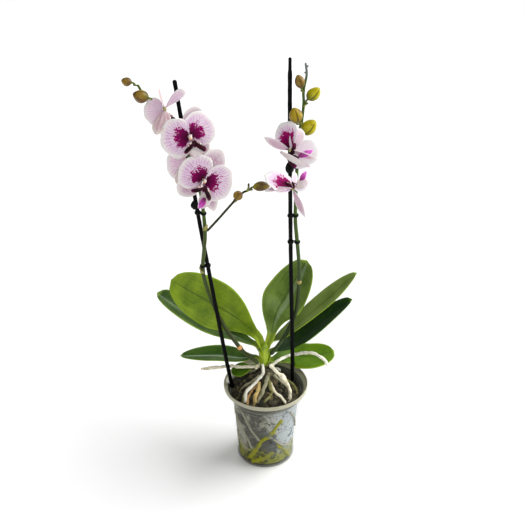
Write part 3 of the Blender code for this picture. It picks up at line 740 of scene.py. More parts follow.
def flower(name, number):
    middle, turn, tilt, roll, width, foot, changes, lips = FLOWERS[name]
    middle, width, foot = metres((middle, width, foot))
    facing = (Matrix.Rotation(math.radians(turn), 4, "Z") @ Matrix.Rotation(math.radians(-tilt), 4, "X")
              @ Matrix.Rotation(math.radians(-roll), 4, "Y"))
    size = width / FLOWER_UNIT
    matrix = Matrix.Translation(middle) @ facing @ Matrix.Scale(size, 4)
    petal_face, petal_back, sepal_face, sepal_back = PETAL_LOOKS[name in ("flower_5", "flower_6")]
    sepals = Shape()
    for index, (part, (angle, form)) in enumerate(TEPALS.items()):
        form = {"angle": angle, "back": False, **form, **changes.get(part, {})}
        slots = (1, 1, 1) if form["back"] else (0, 1, 1)
        shape = Shape() if part.startswith("petal") else sepals
        add_tepal(shape, matrix, form, slots, 11 * number + 3 * index + 1)
        if shape is not sepals:
            shape.piece(f"{name}_{part}_bloom", [petal_face, petal_back], "petal", f"{name}_{part}")
    sepals.piece(name + "_sepals_bloom", [sepal_face, sepal_back], "petal", name + "_sepals")
    share = lips.get("column", 1.0)
    if share:
        column = Shape()
        path = [matrix @ point for point in smooth(COLUMN_ROUTE, 12)]
        swell = along(12, lambda part: math.sin(math.pi * 0.5 * part ** 0.7))
        radii = [size * share * blend(0.0018, 0.0024, part) for part in swell]
        add_tube(column, path, radii, 16, rough=0.05, grain=300.0)
        column.piece(name + "_column", [COLUMN], "petal")
    lip = Shape()
    add_lip(lip, matrix, lips, 0.31 * number)
    lip.piece(name + "_lip_bloom", LIP_LOOKS, "lip", name + "_lip")
    stalk = Shape()
    path = stalk_path(foot, matrix @ Vector((0.0, 0.001, 0.0)), facing.to_3x3() @ FRONT, 16)
    radii = along(16, lambda part: 0.0015 - 0.0004 * math.sin(math.pi * part) + 0.0006 * part ** 4)
    add_tube(stalk, path, radii, 10, rough=0.06, grain=200.0)
    stalk.piece(name + "_stalk", [FLOWER_STALK], "stem")


def stalk_path(foot, top, way, steps):
    """A stalk that leaves the spike sideways and meets top along the given direction."""
    foot, top = Vector(foot), Vector(top)
    behind = top - way.normalized() * 0.3 * (top - foot).length
    outward = ((top - foot) * Vector((1.0, 1.0, 0.35))).normalized()
    start = foot + outward * 0.0012
    return smooth([start, foot + outward * 0.006, start.lerp(behind, 0.6), behind.lerp(top, 0.4), top], steps)


for number, name in enumerate(FLOWERS):
    flower(name, number + 1)

# ---------------------------------------------------------------- buds

# In millimetres: the middle of each bud, the way it points, its length, width and where its stalk starts
BUDS = {
    "bud_left_tip": ((-174, 19, 577), (-1.0, 0.0, 0.25), 13.5, 11.5, (-160, 20, 571), "brown"),
    "bud_left_large": ((-156, 6, 563), (-0.95, -0.2, 0.35), 20.8, 16.8, (-145, 24, 549), "brown"),
    "bud_branch_round": ((-36, -2, 428), (0.15, -0.75, 0.6), 14, 13, (-41, 11, 413), "brown"),
    "bud_branch_long": ((-6, 4, 437.5), (1.0, 0.0, 0.1), 22.5, 13, (-23.5, 5, 431.5), "dark"),
    "bud_right_1": ((41, 9, 581), (-0.25, -0.1, 1.0), 19, 12.5, (46.5, 15, 566), "brown"),
    "bud_right_2": ((59, 13, 563), (0.72, 0.0, 0.75), 21.5, 16, (47, 15, 547), "lime"),
    "bud_right_3": ((36.5, 3, 538), (-0.15, -0.2, 1.0), 23, 17.2, (44.5, 15, 522), "gold"),
    "bud_right_4": ((54, 13, 517.5), (0.7, -0.1, 0.8), 25, 19, (41, 18, 506), "lime"),
}
BUD_LOOKS = {
    "brown": bud_look("bud_brown", (0.25, 0.15, 0.014), (0.085, 0.075, 0.003), (0.105, 0.04, 0.014), 0.7),
    "gold": bud_look("bud_gold", (0.37, 0.255, 0.006), (0.085, 0.08, 0.001), (0.15, 0.065, 0.016), 0.55),
    "lime": bud_look("bud_lime", (0.43, 0.38, 0.004), (0.085, 0.11, 0.001), (0.24, 0.15, 0.01), 0.25),
    "dark": bud_look("bud_dark", (0.22, 0.14, 0.02), (0.28, 0.23, 0.005), (0.07, 0.035, 0.012), 0.8),
}
BUD_STALK = stem_look("bud_stalk", (0.07, 0.09, 0.015), (0.12, 0.15, 0.03), (0.1, 0.07, 0.025), 0.4, 0.6)


def bud(name, number):
    middle, pointing, length, width, foot, kind = BUDS[name]
    middle, length, width, foot = metres((middle, length, width, foot))
    way = Vector(pointing).normalized()
    base = Vector(middle) - way * length / 2
    across = way.orthogonal().normalized()
    other = way.cross(across)
    rows, columns = 26, 36
    points, grooves, reach = [], [], []
    for row in range(rows + 1):
        share = row / rows
        swell = math.sin(math.pi * share ** 0.92) ** 0.62
        swell = max(swell * (1.06 - 0.12 * share), 0.06)
        for column in range(columns):
            turn = 2 * math.pi * column / columns + number
            groove = abs(math.cos(1.5 * turn)) ** 14 * min(1, 4 * share)
            lobes = 1 - 0.07 * groove + 0.02 * math.cos(3 * turn)
            radius = 0.5 * width * swell * lobes
            bend = across * 0.04 * width * math.sin(math.pi * share)
            out = across * math.cos(turn) + other * math.sin(turn)
            points.append(base + way * length * share + out * radius + bend)
            grooves.append((share, groove))
            reach.append((share, 0.5))
    shape = Shape()
    shape.add(points, grooves, reach, closed_faces(rows + 1, columns), 0)
    path = stalk_path(foot, base + way * 0.001, way, 12)
    radii = along(12, lambda share: 0.0011 + 0.0006 * share ** 3)
    add_tube(shape, path, radii, 10, 1, rough=0.08, grain=200.0)
    shape.piece(name + "_skin", [BUD_LOOKS[kind], BUD_STALK], "bud", name)


for number, name in enumerate(BUDS):
    bud(name, number)

# ---------------------------------------------------------------- spikes

# The route of each spike, its radius at the foot and at the tip, and the heights of its nodes
SPIKES = metres({
    "spike_left": (((-12.5, -8, 166), (-18, -6, 170), (-31, 2, 176), (-40, 7, 186), (-52, 13, 201),
        (-65, 20, 223), (-78, 19, 261), (-85, 14, 295), (-85.5, 12, 314), (-83, 8, 340), (-81, 9, 365),
        (-83, 15.5, 396), (-86, 13, 425), (-94, 11, 459), (-104, 12, 490), (-116, 16, 515),
        (-129, 20, 533), (-145, 22, 550), (-155, 21, 561), (-160, 20, 571)), 2.9, 1.5,
        (181, 304, 369.5, 452, 490, 524, 549)),
    "side_branch": (((-77.3, 8.5, 369.5), (-61, 9, 389), (-41, 11, 413), (-30, 8, 426.5),
        (-23.5, 5, 431.5), (-22.5, 5, 440.5)), 1.6, 1.3, (413, 431.5)),
    "spike_right": (((8.5, -6, 180), (17, 2, 187), (27, 14, 196), (35, 21, 211), (40, 21, 224),
        (43.5, 18, 245), (45.5, 13, 290), (44.5, 12, 320), (41, 12, 359), (39, 12.5, 382), (39, 15, 412),
        (40, 19, 454), (40, 20, 489), (41, 18, 506), (44.5, 15, 522), (47, 15, 547), (46.5, 15, 566),
        (50, 15, 587), (48.5, 15, 602)), 2.8, 1.4, (284, 432, 484, 506, 522, 547, 566)),
})
SPIKE_LOOKS = {
    "spike_left": stem_look("spike_left_skin", (0.036, 0.052, 0.008), (0.055, 0.1, 0.01),
                            (0.035, 0.026, 0.008), 0.2, 0.5),
    "side_branch": stem_look("branch_skin", (0.012, 0.02, 0.006), (0.03, 0.042, 0.008),
                             (0.02, 0.014, 0.006), 0.36, 0.44),
    "spike_right": stem_look("spike_right_skin", (0.022, 0.038, 0.006), (0.055, 0.115, 0.01),
                             (0.04, 0.055, 0.01), 0.26, 0.46),
}


def bract_look():
    look = Look("bract", (0.26, 0.3, 0.05), 0.6)
    look.paint((0.34, 0.24, 0.08), look.noise(160.0, 3.0, 0.6), 0.4, 0.65)
    look.paint((0.72, 0.36, 0.12), look.axes()[2], 0.21, 0.18)
    return look.finish(look.noise(700.0, 2.0, 0.6), 0.0003, 0.5)


def dried_look():
    look = Look("dried_tip", (0.07, 0.08, 0.08), 0.8)
    fine = look.noise(500.0, 3.0, 0.6)
    look.cover((0.22, 0.24, 0.22), fine)
    return look.finish(fine, 0.0006, 0.8)


BRACT = bract_look()
DRIED = dried_look()


def spike(name):
    route, foot, tip, nodes = SPIKES[name]
    steps = 10 * (len(route) - 1)
    path = smooth(route, steps)
    radii = []
    for index, point in enumerate(path):
        radius = blend(foot, tip, (index / steps) ** 2.2)
        for height in nodes:
            radius *= 1 + 0.14 * math.exp(-((point.z - height) / 0.0025) ** 2)
        radii.append(radius)
    shape = Shape()
    add_tube(shape, path, radii, 14, rough=0.05, grain=120.0)
    ways = headings(path)
    for number, height in enumerate(nodes):
        index = min(range(steps), key=lambda step: abs(path[step].z - height))
        point, way, radius = path[index], ways[index], radii[index]
        if height < 0.3:
            add_scar(shape, point, way, radius)
        else:
            add_bract(shape, point, way, radius, 0.0085 if height < 0.44 else 0.0055, 2.4 * number)
    if name == "spike_right":
        # The dried tip, with the stubs of two buds that fell
        for step, out in ((steps - 3, (0.0022, 0.0, 0.0012)), (steps - 9, (-0.002, 0.0, 0.0016))):
            add_tube(shape, [path[step], path[step] + Vector(out)], [0.001, 0.0012], 8, 2)
    shape.piece(name + "_skin", [SPIKE_LOOKS[name], BRACT, DRIED], "stem", name)


def add_scar(shape, point, way, radius):
    """The dry ring that an old bract leaves round the stem."""
    path = [point + way * offset for offset in (-0.0022, -0.0014, 0.0, 0.0014, 0.0022)]
    radii = [radius * swell for swell in (0.99, 1.16, 1.22, 1.16, 0.99)]
    add_tube(shape, path, radii, 16, 1, rough=0.1, grain=300.0)


def add_bract(shape, point, way, radius, length, turned):
    """A small pointed scale that wraps half of the stem at a node."""
    across = way.orthogonal().normalized()
    other = way.cross(across)

    def surface(u, v):
        turn = turned + (2 * v - 1) * math.radians(125) * (1 - u) ** 0.7
        out = across * math.cos(turn) + other * math.sin(turn)
        away = radius * (1.1 + 0.35 * u ** 1.5) + 0.0002
        return point + way * (length * u - 0.0015) + out * away, u

    add_sheet(shape, surface, 8, 15, 0.0005, (1, 1, 1), taper=(0.4, 0.5))


for name in SPIKES:
    spike(name)

# ---------------------------------------------------------------- leaves

# The route of each leaf in millimetres, the way its blade spreads, its width in millimetres and how far
# it folds up
LEAVES = {
    "leaf_1": (((-12.5, 8, 201), (-43, 30, 217), (-86, 46, 236), (-134, 62, 258)),
               (0.25, 0.52, 0.8), 68, 0.1),
    "leaf_2": (((-14.5, 7, 184), (-54, 32, 190), (-105, 49, 207), (-155, 66, 234)),
               (0.15, 0.9, 0.2), 50, 0.3),
    "leaf_3": (((-14, 6, 164), (-36, 24, 151), (-70, 40, 144), (-124, 42, 141)), (0.1, 0.99, 0.1), 34, 0.25),
    "leaf_4": (((-14.5, 6, 150), (-26, 8, 143), (-38, 11, 138), (-49, 14, 134)), (0.3, 0.7, 0.6), 21, 0.2),
    "leaf_5": (((7, 7, 201), (14, 29, 222), (30, 56, 239), (58, 73, 284)), (0.9, -0.15, -0.35), 60, 0.12),
    "leaf_6": (((8.5, 8, 190), (34, 33, 192), (84, 42, 235), (127, 46, 280)), (-0.25, 0.9, 0.15), 32, 0.3),
    "leaf_7": (((8, 6, 174), (39, 36, 167), (77, 42, 197), (122, 46, 236)), (-0.1, 0.95, 0.2), 40, 0.3),
    "leaf_8": (((7.8, 6, 158), (36, 34, 147), (64, 32, 146), (99, 42, 149)), (0.0, 0.98, 0.18), 52, 0.1),
}
# Where each leaf's foot comes out of the crown, before the route above
LEAF_SHEATHS = metres({
    "leaf_1": (-4.5, 2, 182), "leaf_2": (-5, 2, 168), "leaf_3": (-5, 2, 160), "leaf_4": (-5, 2, 153),
    "leaf_5": (0, 2, 182), "leaf_6": (1, 2, 172), "leaf_7": (-1, 2, 162), "leaf_8": (0, 2, 156),
})
LEAF_WIDEST = 0.58
LEAF_FOOT = 0.22
EDGE = (0.3, 0.45, 0.035)
# The dark and light green of each leaf and its margin, where a shaded foot ends, and where its painted sheen
# lies
LEAF_LOOKS = {
    "leaf_1": ((0.048, 0.108, 0.003), (0.225, 0.332, 0.014), EDGE, 0.0, None),
    "leaf_2": ((0.016, 0.048, 0.005), (0.085, 0.155, 0.026), EDGE, 0.0, (0.4, 0.2)),
    "leaf_3": ((0.016, 0.058, 0.005), (0.072, 0.15, 0.02), EDGE, 0.0, (0.4, 0.55)),
    "leaf_4": ((0.04, 0.11, 0.005), (0.09, 0.19, 0.01), EDGE, 0.0, None),
    "leaf_5": ((0.036, 0.076, 0.008), (0.13, 0.2, 0.034), EDGE, 0.0, (0.6, 0.25)),
    "leaf_6": ((0.12, 0.19, 0.03), (0.33, 0.43, 0.12), EDGE, 0.34, (0.45, 0.2)),
    "leaf_7": ((0.004, 0.022, 0.003), (0.028, 0.072, 0.014), (0.12, 0.24, 0.02), 0.0, (0.6, 0.78)),
    "leaf_8": ((0.04, 0.11, 0.001), (0.165, 0.29, 0.003), EDGE, 0.0, None),
}


def blade_width(share):
    if share < LEAF_WIDEST:
        return blend(LEAF_FOOT, 1.0, 0.5 - 0.5 * math.cos(math.pi * share / LEAF_WIDEST))
    past = (share - LEAF_WIDEST) / (1 - LEAF_WIDEST)
    return math.sqrt(max(0.0, 1 - past ** 2.2))


def leaf(name, number):
    route, across, width, fold = LEAVES[name]
    route, width = metres((route, width))
    dark, light, edge, shade, painted_sheen = LEAF_LOOKS[name]
    steps = 96
    sheath = 8
    path = smooth((LEAF_SHEATHS[name], route[0]), sheath)[:-1] + smooth(route, steps)
    ways = headings(path)

    def surface(u, v):
        place_on = u * (len(path) - 1)
        index = min(int(place_on), len(path) - 2)
        point = path[index].lerp(path[index + 1], place_on - index)
        heading = ways[index].lerp(ways[index + 1], place_on - index).normalized()
        sideways = Vector(across)
        sideways = (sideways - sideways.dot(heading) * heading).normalized()
        lift = sideways.cross(heading)
        if lift.z < 0:
            lift.negate()
        side = 2 * v - 1
        share = max(0.0, (place_on - sheath) / steps)
        half = max(0.5 * width * blade_width(share), 0.0006) * min(1.0, 0.75 + 0.25 * place_on / sheath)
        valley = math.sqrt(side ** 2 + 0.012) - 0.11
        clasp = max(0.0, 1 - u / 0.16)
        rise = (fold + 0.9 * clasp) * valley * half
        rise += 0.001 * math.sin(11 * u + 2.1 * number + 2 * side) * side ** 2 * min(1, 4 * u)
        return point + sideways * side * half * (1 - 0.25 * clasp) + lift * rise, u

    shape = Shape()
    add_sheet(shape, surface, 49, 25, 0.0019, (0, 1, 2), taper=(0.35, 0.4))
    face = leaf_look(name + "_face", dark, light, edge, shade, painted_sheen)
    pale = tuple(blend(a, b, 0.5) for a, b in zip(dark, light))
    under = leaf_look(name + "_under", dark, pale, edge, shade, under=True)
    rim = leaf_look(name + "_rim", edge, scaled(edge, 1.15), edge)
    shape.piece(name + "_blade", [face, under, rim], "leaf", name)


for number, name in enumerate(LEAVES):
    leaf(name, number)

# ---------------------------------------------------------------- crown

CROWN_AXIS = Vector((-0.0015, 0.001, 0.0))
CROWN_NARROWING = 0.84
CROWN = ((0.0, 0.191), (0.004, 0.19), (0.0065, 0.185), (0.008, 0.175), (0.0085, 0.164), (0.007, 0.155),
         (0.0045, 0.1505), (0.0, 0.1497))


def crown_look():
    look = Look("crown_skin", (0.16, 0.26, 0.004), 0.42, Coat_Weight=0.15, Coat_Roughness=0.3)
    x, y, z = look.axes()
    ribs = look.drawn(x * 500.0, y * 500.0, z * 50.0)
    look.paint((0.36, 0.48, 0.008), look.noise(90.0, 3.0, 0.6), 0.35, 0.7)
    look.paint((0.1, 0.085, 0.035), z, 0.16, 0.156, 0.95)
    return look.finish(ribs, 0.0008, 0.5)


def crown():
    shape = Shape()

    def uneven(point):
        turn = math.atan2(point.y, point.x)
        sheath = 1 + 0.1 * math.cos(2 * turn + 30 * point.z) + 0.05 * math.cos(7 * turn)
        return Vector((CROWN_NARROWING * point.x * sheath, point.y * sheath, point.z)) + CROWN_AXIS

    profile = [(max(radius, 0.0004), height) for radius, height in rounded(CROWN, 2)]
    add_lathe(shape, profile, 40, uneven=uneven)
    # Old leaf sheaths that wrap the crown, one above the other
    for height, turn in ((0.152, 205), (0.16, 15), (0.17, 185)):
        turn = math.radians(turn)

        def surface(u, v, height=height, turn=turn):
            angle = turn + (2 * v - 1) * math.radians(85) * (1 - 0.3 * u)
            radius = 0.0086 + 0.0022 * u + 0.0006 * math.sin(3 * angle)
            middle = CROWN_AXIS + Vector((0.0, 0.0, height + 0.016 * u * math.cos((2 * v - 1) * 1.3)))
            out = Vector((CROWN_NARROWING * math.cos(angle), math.sin(angle), 0.0))
            return middle + out * radius, u

        add_sheet(shape, surface, 10, 17, 0.0012, (0, 0, 0), taper=(0.35, 0.4))
    shape.piece("crown_skin", [crown_look()], "crown", "crown")


crown()

# ---------------------------------------------------------------- roots

ROOTS = metres({
    "root_front_left": (((-4, -11, 163), (-4, -16, 152), (-14, -22, 141), (-27, -30, 130), (-29, -34, 117),
        (-27, -31, 104)), 2.2, "silver"),
    "root_front_right": (((6.5, -8.5, 160), (14, -14, 155), (25, -17, 144), (33, -21, 131), (34, -26, 119),
        (30, -26, 104)), 2.3, "cream"),
    "air_root_left": (((-11.5, -6.5, 157), (-36, 1, 151), (-46, 10, 146), (-55, 14.5, 142), (-73, 17, 138),
        (-92, 18, 135)), 2.3, "cream"),
    "air_root_right": (((8.5, -4.5, 158), (21, 1, 165), (35, 19, 158), (49, 18, 162), (63, 12, 168),
        (74, 8, 166), (84, 4, 160), (87, 2, 153)), 2.2, "silver"),
    "root_mound_yellow": (((-9.5, -18, 136), (-11, -26.5, 129.5), (-15, -33.5, 123.5), (-14.5, -36, 112)),
        2.8, "yellow"),
    "root_mound_grey": (((4, -11, 147), (0, -19.5, 138), (-4, -27, 130), (-10, -34, 118), (-12, -36, 110)),
        2.7, "grey"),
})
# More roots that show on the mound, beside the ones in the CAD model
MOUND_ROOTS = metres((
    (((-14, -18, 131.5), (-20.8, -24, 125), (-25, -31.1, 118.5), (-25.8, -37.2, 113), (-23, -34, 106)), 2,
      "orange"),
    (((6, -15.5, 138), (8.8, -24.6, 129), (6, -31.6, 123.8), (-1.1, -36.6, 119), (-3, -38, 110)), 1.7,
      "olive"),
    (((7.4, -17.2, 136), (13, -26, 126.8), (21.5, -29.7, 120.8), (27.1, -34.4, 115), (29, -36, 107)), 1.9,
      "cream"),
    (((27, 2, 129), (37, 3, 120.5), (42.5, -2.7, 117), (44.8, -9.7, 112)), 1.6, "olive"),
    (((-24, -15, 127.5), (-29, -20, 121.5), (-31.8, -27.5, 116.5), (-32, -31, 108)), 1.9, "olive"),
    (((-10, -11, 144), (-18, -12, 136), (-29, -10, 126.5), (-36, -10.5, 117)), 1.8, "grey"),
    (((12, -8, 143), (20, -10, 135), (28, -11, 128), (34, -12, 119)), 1.7, "grey"),
    (((2, -14, 143), (5.5, -20, 137), (7.5, -26, 130)), 2.2, "olive"),
    (((-1, 15, 141), (-6, 26, 130), (-12, 35, 121), (-14, 39, 112)), 2.2, "cream"),
    (((8, 14, 142), (16, 24, 130), (20, 34, 121), (21, 39, 112)), 2.1, "silver"),
    (((-14, 8, 140), (-25, 18, 129), (-31, 27, 119), (-33, 31, 110)), 1.9, "grey"),
))
ROOT_LOOKS = {
    "silver": root_look("root_silver", (0.88, 0.86, 0.74), (0.58, 0.55, 0.38), (0.2, 0.16, 0.07), 0.3),
    "cream": root_look("root_cream", (0.87, 0.82, 0.62), (0.54, 0.48, 0.26), (0.22, 0.16, 0.06), 0.35),
    "yellow": root_look("root_yellow", (0.58, 0.43, 0.16), (0.44, 0.36, 0.14), (0.24, 0.14, 0.05), 0.4),
    "orange": root_look("root_orange", (0.52, 0.31, 0.12), (0.5, 0.38, 0.2), (0.2, 0.11, 0.04), 0.4),
    "olive": root_look("root_olive", (0.22, 0.215, 0.075), (0.34, 0.32, 0.14), (0.08, 0.07, 0.02), 0.5),
    "grey": root_look("root_grey", (0.37, 0.36, 0.23), (0.25, 0.235, 0.13), (0.1, 0.085, 0.04), 0.5),
}


def root(shape, route, radius, slot, number, ends=1.0):
    steps = 9 * (len(route) - 1)
    path = smooth(route, steps)
    rng = random.Random(number)
    phase = 6.28 * rng.random()
    radii = []
    for index in range(steps + 1):
        share = index / steps
        size = radius * (1 + 0.07 * math.sin(5 * share * len(route) + phase))
        radii.append(size * (1 if share < 0.92 else blend(1, ends, (share - 0.92) / 0.08)))
    add_tube(shape, path, radii, 16, slot, rough=0.46, grain=200.0)


def roots():
    for number, (name, (route, radius, kind)) in enumerate(ROOTS.items()):
        shape = Shape()
        root(shape, route, radius, 0, number, 0.7)
        if name == "root_front_right":
            # The swollen, lumpy stretch half-way down
            lump = smooth(route, 50)[14:26]
            radii = along(11, lambda share: 0.0022 + 0.0022 * math.sin(math.pi * share))
            add_tube(shape, lump, radii, 16, 0, rough=0.5, grain=210.0)
        shape.piece(name + "_skin", [ROOT_LOOKS[kind]], "root", name)
    kinds = list(ROOT_LOOKS)
    shape = Shape()
    for number, (route, radius, kind) in enumerate(MOUND_ROOTS):
        root(shape, route, radius, kinds.index(kind), 40 + number)
    # The cut stub of an old root at the crown's foot
    stub = smooth(((-0.009, -0.004, 0.16), (-0.0125, -0.0085, 0.1585), (-0.0135, -0.0105, 0.1575)), 8)
    add_tube(shape, stub, 0.0021, 14, kinds.index("cream"), rough=0.2, grain=200.0)
    shape.piece("mound_roots", list(ROOT_LOOKS.values()), "root")


roots()

# ---------------------------------------------------------------- medium and pot

POT_HEIGHT = 0.125
POT_WALL = 0.0009
POT_SEGMENTS = 120
MOULDING_LINES = (0.105, 0.0995)
RIM_RADIUS = 0.06
NECK_RADIUS = 0.0503
NECK_HEIGHT = 0.109
BASE_RADIUS = 0.0415
# How far the bark and the roots stay inside the wall's outer face
BARK_INSET = 0.0023
ROOT_INSET = 0.0012
MEDIUM_TOP = ((0.0, 0.149), (0.01, 0.144), (0.022, 0.131), (0.034, 0.121), (0.044, 0.114), (0.0485, 0.112))


def wall_radius(height):
    return blend(BASE_RADIUS, NECK_RADIUS, height / NECK_HEIGHT)


def mound_height(radius):
    for (r0, z0), (r1, z1) in zip(MEDIUM_TOP, MEDIUM_TOP[1:]):
        if radius <= r1:
            return blend(z0, z1, (radius - r0) / (r1 - r0))
    return MEDIUM_TOP[-1][1]


def packed_look():
    """Bark seen through the wall: pale misty patches, painted lighter on the right side as painted light,
    painted shade in the dark hollows, crisp specks, moss low down.
    """
    look = Look("packed_bark_skin", (0.37, 0.365, 0.285), 0.8)
    x, _, z = look.axes()
    clouds = look.noise(34.0, 4.0, 0.6, 0.8)
    streak = look.noise(110.0, 4.0, 0.7, 1.5)
    # Painted light: a pale haze on the right side, where the light falls, over the real misting
    look.paint((0.4, 0.44, 0.45), x * 8.0 + look.noise(16.0, 3.0, 0.5, 0.3), 0.36, 0.7)
    # Painted shade in the hollows between the bark pieces, most in the middle of the front
    centre = look.step(abs(x + (z * 0.12 + 0.004)), 0.034, 0.006)
    shaded_hollow = look.step(clouds + (centre * 0.25 - 0.11), 0.4, 0.6)
    look.cover((0.036, 0.038, 0.026), shaded_hollow * 0.9)
    look.paint((0.01, 0.011, 0.01), streak, 0.565, 0.615, 0.92)
    look.paint((0.5, 0.52, 0.48), streak, 0.42, 0.34, 0.25)
    moss = look.mix(look.step(streak, 0.46, 0.58), (0.27, 0.28, 0.002), (0.028, 0.032, 0.003))
    look.cover(moss, look.step(z + clouds * 0.05, 0.064, 0.042) * 0.9)
    soil = look.mix(look.step(streak, 0.4, 0.62), (0.01, 0.0095, 0.004), (0.11, 0.092, 0.045))
    look.paint(soil, z, 0.104, 0.108)
    return look.finish(streak + look.noise(420.0, 3.0, 0.6), 0.0012, 0.8)


def medium():
    shape = Shape()

    def uneven(point):
        if point.xy.length < 0.001:
            return point
        lump = 0.0016 * noise.noise(point * 130) + 0.001 * noise.noise(point * 330)
        out = Vector((point.x, point.y, 0)).normalized()
        if point.z > 0.11:
            return point + Vector((0, 0, lump - 0.001))
        return point + out * (0.4 * lump - 0.0008)

    side = [(wall_radius(height) - BARK_INSET, height)
            for height in np.linspace(0.107, 0.006, 26)]
    top = [(radius, mound_height(radius) - 0.001) for radius in np.linspace(0.0006, 0.0498, 24)]
    profile = [*top, *side, (BASE_RADIUS - 0.006, 0.0032), (0.0006, 0.0032)]
    add_lathe(shape, profile, 96, uneven=uneven)
    shape.piece("packed_bark", [packed_look()], "medium", "growing_medium")


CHIP_SIDES = 7
CHIP_COUNT = 230


def add_chip(shape, middle, size, turn, rng):
    """One broken chip of bark: a rough bar with chipped corners."""
    corners = []
    for level, shrink in ((-1, 0.72), (-0.45, 1.0), (0.45, 1.0), (1, 0.72)):
        for index in range(CHIP_SIDES):
            angle = 2 * math.pi * index / CHIP_SIDES + 0.5 * rng.random()
            reach = shrink * (0.78 + 0.34 * rng.random())
            corner = Vector((0.5 * size.x * reach * math.cos(angle), 0.5 * size.y * reach * math.sin(angle),
                             0.5 * size.z * (level + 0.25 * rng.random())))
            corners.append(middle + turn @ corner)
    seed = rng.random() ** 2.4
    count = len(corners)
    shape.add(corners, [(0.5, 0.5)] * count, [(0.5, seed)] * count, closed_faces(4, CHIP_SIDES), 0)


def chips():
    rng = random.Random(7)
    shape = Shape()
    for _ in range(CHIP_COUNT):
        radius = 0.0465 * math.sqrt(rng.uniform(0.06, 1.0))
        angle = rng.uniform(0, 2 * math.pi)
        size = Vector((rng.uniform(0.005, 0.013), rng.uniform(0.003, 0.0075), rng.uniform(0.002, 0.0045)))
        if radius + 0.5 * size.x > 0.0485:
            size.x = 0.004
            radius = min(radius, 0.0455)
        point = Vector((radius * math.cos(angle), radius * math.sin(angle), mound_height(radius) - 0.0005))
        slope = math.atan2(0.037, 0.0485)
        tilt = Matrix.Rotation(angle, 3, "Z") @ Matrix.Rotation(slope * rng.uniform(0.5, 1.4), 3, "Y")
        spin = Matrix.Rotation(rng.uniform(0, math.pi), 3, "Z") @ Matrix.Rotation(rng.gauss(0, 0.35), 3, "X")
        add_chip(shape, point, size, tilt @ spin, rng)
    look = bark_look("bark_chips", (0.009, 0.0085, 0.0035), (0.052, 0.045, 0.02), (0.24, 0.17, 0.075))
    shape.piece("bark_chips", [look], "medium", smooth=False)


WALL_ROOTS = metres((
    (((21.6, -39.9, 86.2), (14.6, -42.3, 75.4), (6.1, -43.2, 61.6), (-5.3, -42.5, 51.8),
      (-12.5, -39.7, 36.5), (-22.8, -32.5, 13.5)), 3.4, "moss"),
    (((-18.5, -34.5, 8), (-5.3, -39.7, 16), (9.1, -39.7, 27.2)), 3.2, "moss"),
    (((17.2, -37.6, 40), (26.6, -30.7, 25.2), (34.4, -20.5, 7)), 2.6, "moss"),
    (((-35.1, -31, 100.6), (-28, -35.9, 84.7), (-19.6, -39.4, 67.6), (-9.6, -41.9, 53.1)), 1.9, "pale"),
    (((-43, -13, 90), (-39.8, -19.8, 71.8), (-31.2, -30.2, 58.2), (-19.7, -36.3, 35.5)), 2, "pale"),
    (((-40.3, -13, 48), (-34.5, -24, 35.7), (-27, -30.6, 28.8)), 1.8, "pale"),
    (((11.9, -41, 52.4), (25, -33.1, 36.6), (36.9, -18.6, 33.8)), 1.7, "pale"),
    (((34, -30, 95), (40, -19, 76), (41, -10, 56)), 1.7, "pale"),
    (((44, 6, 98), (40, 18, 76), (30, 31, 56), (16, 39, 44)), 2.1, "pale"),
    (((-10, 46, 96), (-18, 40, 70), (-28, 31, 48), (-33, 22, 24)), 2.2, "moss"),
    (((-42, 12, 82), (-40, 18, 56), (-30, 29, 30)), 1.9, "pale"),
    (((12, 44, 88), (4, 43, 60), (10, 40, 30), (22, 33, 12)), 2, "moss"),
))


def wall_roots():
    looks = {
        "moss": root_look("root_moss", (0.3, 0.3, 0.01), (0.17, 0.18, 0.1), (0.035, 0.035, 0.003), 0.55),
        "pale": root_look("root_pale", (0.31, 0.305, 0.225), (0.37, 0.37, 0.29), (0.14, 0.12, 0.06), 0.35),
    }
    kinds = list(looks)
    shape = Shape()
    for number, (route, radius, kind) in enumerate(WALL_ROOTS):
        hugging = []
        for point in smooth(route, 4 * (len(route) - 1)):
            reach = wall_radius(point.z) - ROOT_INSET - radius
            scale = reach / math.hypot(point.x, point.y)
            hugging.append((point.x * scale, point.y * scale, point.z))
        root(shape, hugging, radius, kinds.index(kind), 70 + number)
    shape.piece("wall_roots", list(looks.values()), "root")


